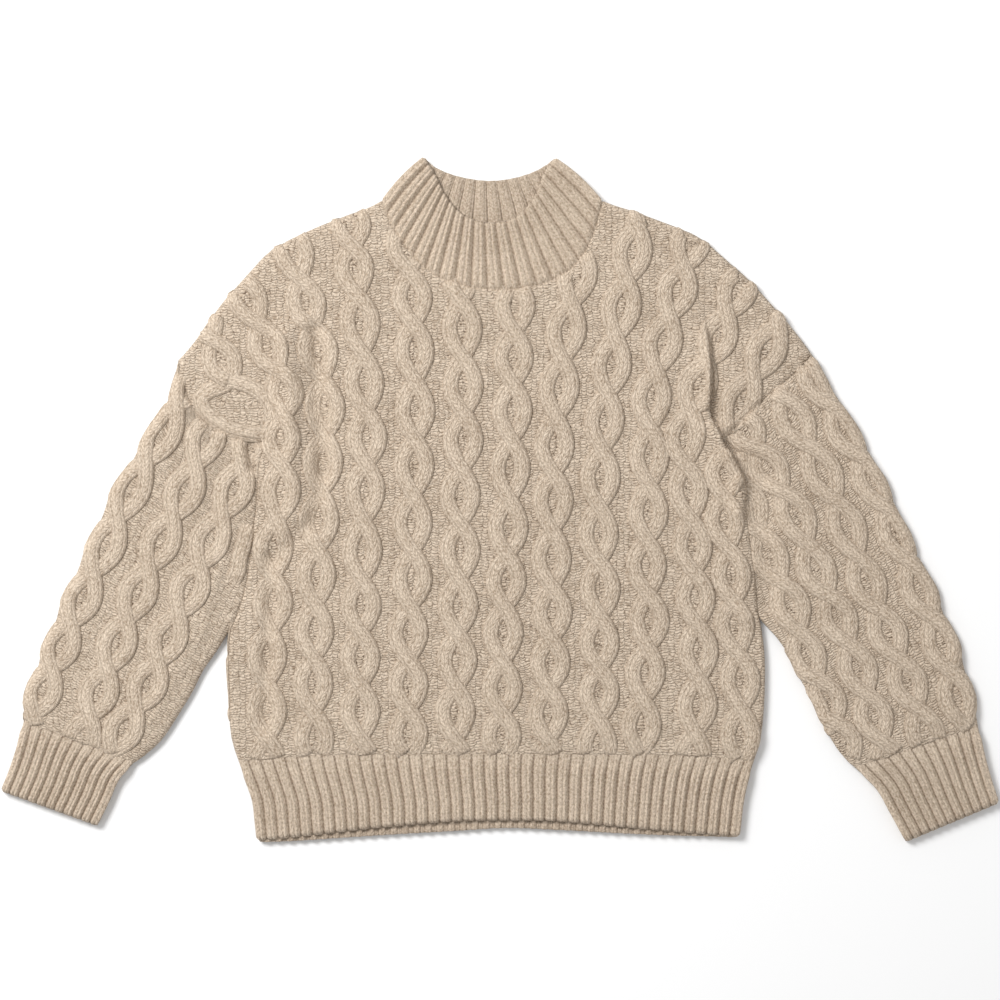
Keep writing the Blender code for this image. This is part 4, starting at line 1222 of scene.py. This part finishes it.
def sleeve_tube(name, sleeve, upper, lower, top_steps, under_steps, rows):
    """The knit ground of a sleeve, once round through its two layers."""
    around = top_steps + under_steps

    def place(u, v, copy):
        step = np.rint(u * around)
        on_top = step <= top_steps
        share = warp(np.where(on_top, step / top_steps, (around - step) / under_steps))
        spots = sleeve_spot(sleeve, v, share)
        eye = in_eye(spots, sleeve["eyes"])
        rise = EYE_RISE * np.sqrt(np.maximum(eye, 0))
        points = np.where(on_top[:, None], on_layer(spots, upper, rise), on_layer(spots, lower, rise))
        counted = share * sleeve_width(sleeve, v) / STITCH_WIDTH * np.where(on_top, 1, -1)
        return points, np.stack((counted, -v * sleeve["outer_path"][-1, 0] / PURL_HEIGHT), -1), eye

    mesh = spread(name, around, rows, place)
    close_up(mesh, join=True)
    return add_piece(mesh, GROUND_WOOL, WALL)


# A strand of the left sleeve's last cable, beside the body
INNER_STRAND = ((-250, 322), (-255, 305), (-260, 288), (-262, 275), (-268, 262))
sleeves = {}
for name, sleeve in (("left", SLEEVE_LEFT), ("right", SLEEVE_RIGHT)):
    upper, lower = sleeve_layer(sleeve, 1, FRONT_DEPTH), sleeve_layer(sleeve, -1, BACK_DEPTH)
    tube = sleeve_tube(f"sleeve_{name}_ground", sleeve, upper, lower, top_steps=70, under_steps=40, rows=140)
    more = [plain_strand(INNER_STRAND, 3.6, 150)] if name == "left" else []
    over = cables(f"sleeve_{name}_cables", sleeve["eyes"], upper, rows=150, more=more)
    under = cables(f"sleeve_{name}_under_cables", sleeve["eyes"], lower, rows=100)
    sleeves[name] = (tube, over, under, flat_area(upper["outline"]))

# %% [markdown]
# ## Ribbed bands
# Hem, cuffs and neck are ribbed: two knit columns stand up side by side, then the cloth sinks back in
# a narrow valley, so the band grips. Each band is one tube with a rounded fold at both sides. Its ribs
# are waves in the mesh, also on the inside, because a wall of even thickness follows them.

# %% Section of a ribbed band
BAND_HALF = 3.9  # from the middle plane up to the valleys between ribs
UNDER_HALF = 3.0  # and down to those of the back
HIDDEN_SIDE = 2.5  # how far its sides are drawn in where it starts inside the panel
HIDDEN_DROP = 1.5  # and how much lower it lies there
FIRST_RISE = 0.15  # share of a rib's rise at the seam
RIB_RISE = 2.7
RIB_STEPS = 12  # points across a rib
RIB_ROW = 3.9  # height of its rows of stitches
VALLEY_HALF = 0.07  # half the width of a valley, as a share of the pitch
RIB_SIDE = 0.2  # and the width of a rib's side
RIB_ROUND = 0.75  # the lower, the squarer a rib's inside
INSIDE_SHIFT = 0.25  # of the pitch, from the ribs outside to those inside
RIB_GROOVE = 0.38  # between the two columns of a rib, as a share of its rise
RIB_GROOVE_HALF = 0.12
LIP_REACH = 16.0  # over which a lip is drawn down
END_ROUND = 4.0  # over which the open edge rounds off
END_DROP = 3.2
BAND_WALL = 2.4
NUDGE = 0.01  # share of the width between places that tell the way across


def rib_wave(turns):
    """Height across the ribs, from 0 in a valley to 1, with a groove between a rib's two columns."""
    middle = np.abs(turns % 1 - 0.5)
    rise = np.clip((0.5 - VALLEY_HALF - middle) / RIB_SIDE, 0, 1)
    return rise * rise * (3 - 2 * rise) - RIB_GROOVE * np.clip(1 - middle / RIB_GROOVE_HALF, 0, 1)


def round_side(part, width):
    """A share of the way over one side of a flattened tube: distance in from its left fold, way out
    beyond the folds, and share of its full height."""
    quarter = math.pi * BAND_HALF / 2
    arc = width - 2 * BAND_HALF + 2 * quarter
    left, right = part * arc / BAND_HALF, (1 - part) * arc / BAND_HALF
    bend = np.minimum(np.minimum(left, right), math.pi / 2)
    away = np.where(left < right, -1.0, 1.0) * np.cos(bend)
    reach = BAND_HALF + part * arc - quarter
    reach = np.where(right < math.pi / 2, width - BAND_HALF * (1 - np.cos(right)), reach)
    reach = np.where(left < math.pi / 2, BAND_HALF * (1 - np.cos(left)), reach)
    return reach, away, np.sin(bend)


print("a quarter of a rib's pitch stands", round(float(rib_wave(0.25)), 2), "of its rise high")

# %% Raise ribs on a tube


def band(name, spot, ribs, rows, length, start=8.0, settle=14.0, lip=0.0, finish=RIB_WOOL, turned=False):
    """A ribbed tube. spot(share, down, front) is a place on it; ribs are those of front and back.

    It starts inside the panel and its ribs rise through the ground there; they stand full where they
    have settled past the seam. The back's open edge is drawn down by lip.
    """
    front_steps, back_steps = (count * RIB_STEPS for count in ribs)
    around = front_steps + back_steps

    def place(u, v, copy):
        step = np.rint(u * around)
        down = v * (1 + start / length) - start / length
        on_top = step <= front_steps
        facing = np.where(on_top, 1.0, -1.0)
        part = np.where(on_top, step / front_steps, (around - step) / back_steps)
        ends = [spot(np.full(v.shape, end), down, 0.5) for end in (0.0, 1.0)]
        width = np.linalg.norm(ends[1] - ends[0], axis=-1)
        reach, away, up = round_side(part, width)
        hidden = np.clip(-down * length / start, 0, 1)
        settled = np.clip(down * length / settle, 0, 1) ** 2
        share = 0.5 + (np.clip(reach / width, 0, 1) - 0.5) * (1 - 2 * HIDDEN_SIDE * hidden / width)
        front = 0.5 + 0.5 * facing * up
        spots = spot(share, down, front)
        beside = [spot(np.clip(share + nudge, 0, 1), down, front) for nudge in (-NUDGE, NUDGE)]
        ahead = unit(beside[1] - beside[0])
        turns = step / RIB_STEPS
        wave = rib_wave(turns)
        if turned:  # the back shows its inside: broad ribs between narrow gaps
            inside_wave = 1 - np.abs(np.cos(np.pi * (turns + INSIDE_SHIFT))) ** RIB_ROUND
            wave = np.where(on_top, wave, inside_wave)
        height = np.where(on_top, BAND_HALF, UNDER_HALF) - HIDDEN_DROP * hidden
        height += wave * RIB_RISE * (FIRST_RISE + (1 - FIRST_RISE) * settled) * (1 - hidden)
        to_end = np.clip(1 - (1 - down) * length / END_ROUND, 0, 1) * on_top
        height -= END_DROP * (1 - np.sqrt(1 - to_end**2))
        height -= lip * np.clip(1 - (1 - down) * length / LIP_REACH, 0, 1) ** 2 * ~on_top
        spots = spots + ahead * (away * (height - BAND_HALF))[..., None]
        z = pressed(MIDDLE + facing * up * height)
        stitches = np.stack((turns * 2, -down * length / RIB_ROW), -1)
        return in_metres(spots[..., 0], spots[..., 1], z), stitches, None

    mesh = spread(name, around, rows, place)
    close_up(mesh, join=True)
    # the inner faces of the wall get the inside wool, darker by painted shade
    return add_piece(mesh, finish, BAND_WALL, SHADED_INSIDE_WOOL)


# %% Hem band
# height, left side, right side
HEM_SIDES = (
    (2, -242, 238), (25, -244.5, 240.5), (45, -247, 243),
    (65, -254, 247.5), (80, -260, 252.5), (92, -264, 257),
)
# x, height of the front's lower edge and of the back's
HEM_EDGE = (
    (-243, 5.5, 3), (-214, 8, 4), (-120, 18, 10), (-48, 24, 14),
    (5, 25, 17), (60, 24, 15), (150, 16, 10.5), (240, 9, 8),
)
HEM_START, HEM_SPAN = -250, 495  # rough x of its left side and rough width, to look up its edge
HEM_RIBS = (42, 42)  # of the front and of the back


def hem_spot(share, down, front):
    """A place on the hem band, from the seam down."""
    guess = HEM_START + HEM_SPAN * share
    edge = read_between(HEM_EDGE, guess, 2) * (1 - front) + read_between(HEM_EDGE, guess, 1) * front
    top = hem_seam(guess)
    height = top + (edge - top) * down
    left, right = read_between(HEM_SIDES, height, 1), read_between(HEM_SIDES, height, 2)
    return np.stack((left + (right - left) * share, height), -1)


hem = band("hem_ribbing", hem_spot, HEM_RIBS, rows=30, length=72, lip=2.6)

# %% Cuffs
# outer x and height, inner x and height, from the cuff seam to the open end
CUFF_LEFT = ((-476.8, 123, -367, 82), (-481.5, 100, -382, 66), (-489, 76.5, -391.5, 45), (-498, 54, -404, 20))
CUFF_RIGHT = ((478.5, 118, 356, 77), (483, 93, 377, 57), (489.5, 68, 391, 33), (498, 42, 407, 4))
CUFF_RIBS = (11, 11)


def cuff(name, sides):
    """A ribbed cuff. Above its seam it runs on as steeply as between its first two rows."""
    thirds = len(sides) - 1
    table = [(number / thirds, *row) for number, row in enumerate(sides)]
    slope = np.subtract(sides[1], sides[0])

    def spot(share, down, front):
        run_on = np.minimum(down, 0)[..., None] * thirds
        outer = spot_between(table, down) + run_on * slope[:2]
        inner = spot_between(table, down, 3) + run_on * slope[2:]
        return outer + (inner - outer) * share[..., None]

    return band(name, spot, CUFF_RIBS, rows=30, length=76, settle=10.0)


cuff_left = cuff("cuff_left_ribbing", CUFF_LEFT)
cuff_right = cuff("cuff_right_ribbing", CUFF_RIGHT)

# %% Neckband
COLLAR_FRONT_EDGE = (
    (-75, 688), (-64, 670), (-57, 655), (-48, 642), (-39, 633), (-25, 626),
    (-10, 623), (12, 627), (28, 640), (37, 655), (43, 671), (54, 687),
)
COLLAR_BACK_EDGE = (
    (-75, 688), (-67, 680), (-50, 672), (-30, 667), (-10, 665), (10, 667), (30, 672.5), (45, 680), (54, 687),
)
COLLAR_BOW = 2.5  # how far its folded sides bow outwards
COLLAR_BOW_PART = 6  # over a sixth of the width at each side
COLLAR_BOW_WAYS = (-0.7, 0.7), (0.66, 0.75)  # x and height
COLLAR_RIBS = (19, 14)  # the back of the neck is shorter


def collar_spot(share, down, front):
    """A place on the neckband, from the seam to its open edge, between its front and its back."""
    places = []
    for seam_line, edge_line in ((NECK_FRONT, COLLAR_FRONT_EDGE), (NECK_BACK, COLLAR_BACK_EDGE)):
        seam, edge = walk(with_lengths(seam_line), share), walk(with_lengths(edge_line), share)
        place = seam + (edge - seam) * down[..., None]
        bow = COLLAR_BOW * np.sin(math.pi * down)
        for way, inwards in zip(COLLAR_BOW_WAYS, (share, 1 - share)):
            near = np.clip(1 - inwards * COLLAR_BOW_PART, 0, 1)
            place = place + np.array(way) * (bow * near)[..., None]
        places.append(place)
    front = np.asarray(front)[..., None]
    return places[0] * front + places[1] * (1 - front)


collar = band(
    "neck_ribbing", collar_spot, COLLAR_RIBS, rows=34, length=66,
    start=4.0, settle=2.0, finish=SHADED_NECK_WOOL, turned=True,
)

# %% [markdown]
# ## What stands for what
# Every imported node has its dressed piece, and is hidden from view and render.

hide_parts("body_front")
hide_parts("body_front")
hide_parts("body_back")
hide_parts("body_back")
flat_area(FRONT["outline"])
flat_area(BACK["outline"])
for name in ("left", "right"):
    tube, over, under, area = sleeves[name]
    for piece in (tube, over, under):
        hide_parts(f"sleeve_{name}")
for piece, node, flat in (
    (hem, "hem_band", (0.99, 0.072)),
    (cuff_left, "cuff_left", (0.25, 0.078)),
    (cuff_right, "cuff_right", (0.25, 0.078)),
    (collar, "neckband", (0.42, 0.066)),
):
    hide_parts(node)

# %% [markdown]
# ## Floor, light and camera
# The garment lies on a plain pale floor. A large soft lamp stands up and to the left, so each strand
# throws a short shadow to the right, and the room fills the rest. The camera looks straight down.

# %% Stage
bm = bmesh.new()
bmesh.ops.create_grid(bm, x_segments=1, y_segments=1, size=4.0)
floor_mesh = bpy.data.meshes.new("floor")
bm.to_mesh(floor_mesh)
bm.free()
floor = bpy.data.objects.new("floor", floor_mesh)
bpy.context.scene.collection.objects.link(floor)
paper = bpy.data.materials.new("pale_paper")
paper.use_nodes = True
matt_white = paper.node_tree.nodes["Principled BSDF"]
matt_white.inputs["Base Color"].default_value = (0.93, 0.93, 0.93, 1)
matt_white.inputs["Roughness"].default_value = 0.8
floor_mesh.materials.append(paper)

lamp_data = bpy.data.lights.new("window_light", "AREA")
lamp_data.size = 1.2
lamp_data.energy = 92
lamp = bpy.data.objects.new("window_light", lamp_data)
lamp.location = (-1.5, 1.4, 2.35)
lamp.rotation_mode = "QUATERNION"
lamp.rotation_quaternion = lamp.location.to_track_quat("Z", "Y")
bpy.context.scene.collection.objects.link(lamp)

world = bpy.data.worlds.new("room")
world.use_nodes = True
sky = world.node_tree.nodes["Background"]
sky.inputs["Color"].default_value = (1.0, 1.0, 1.0, 1)
sky.inputs["Strength"].default_value = 0.56
bpy.context.scene.world = world
bpy.context.scene.view_settings.view_transform = "Standard"
bpy.context.scene.view_settings.look = "None"

CAMERA_LENS = 100
CAMERA_SENSOR = 36
VIEW_WIDTH = 1.0  # metres of floor across the picture
VIEW_PLANE = 0.008  # height at which that width is measured
camera_data = bpy.data.cameras.new("camera")
camera_data.lens = CAMERA_LENS
camera_data.sensor_width = CAMERA_SENSOR
camera = bpy.data.objects.new("camera", camera_data)
camera.location = (0, 0, VIEW_PLANE + VIEW_WIDTH * CAMERA_LENS / CAMERA_SENSOR)
bpy.context.scene.collection.objects.link(camera)
bpy.context.scene.camera = camera
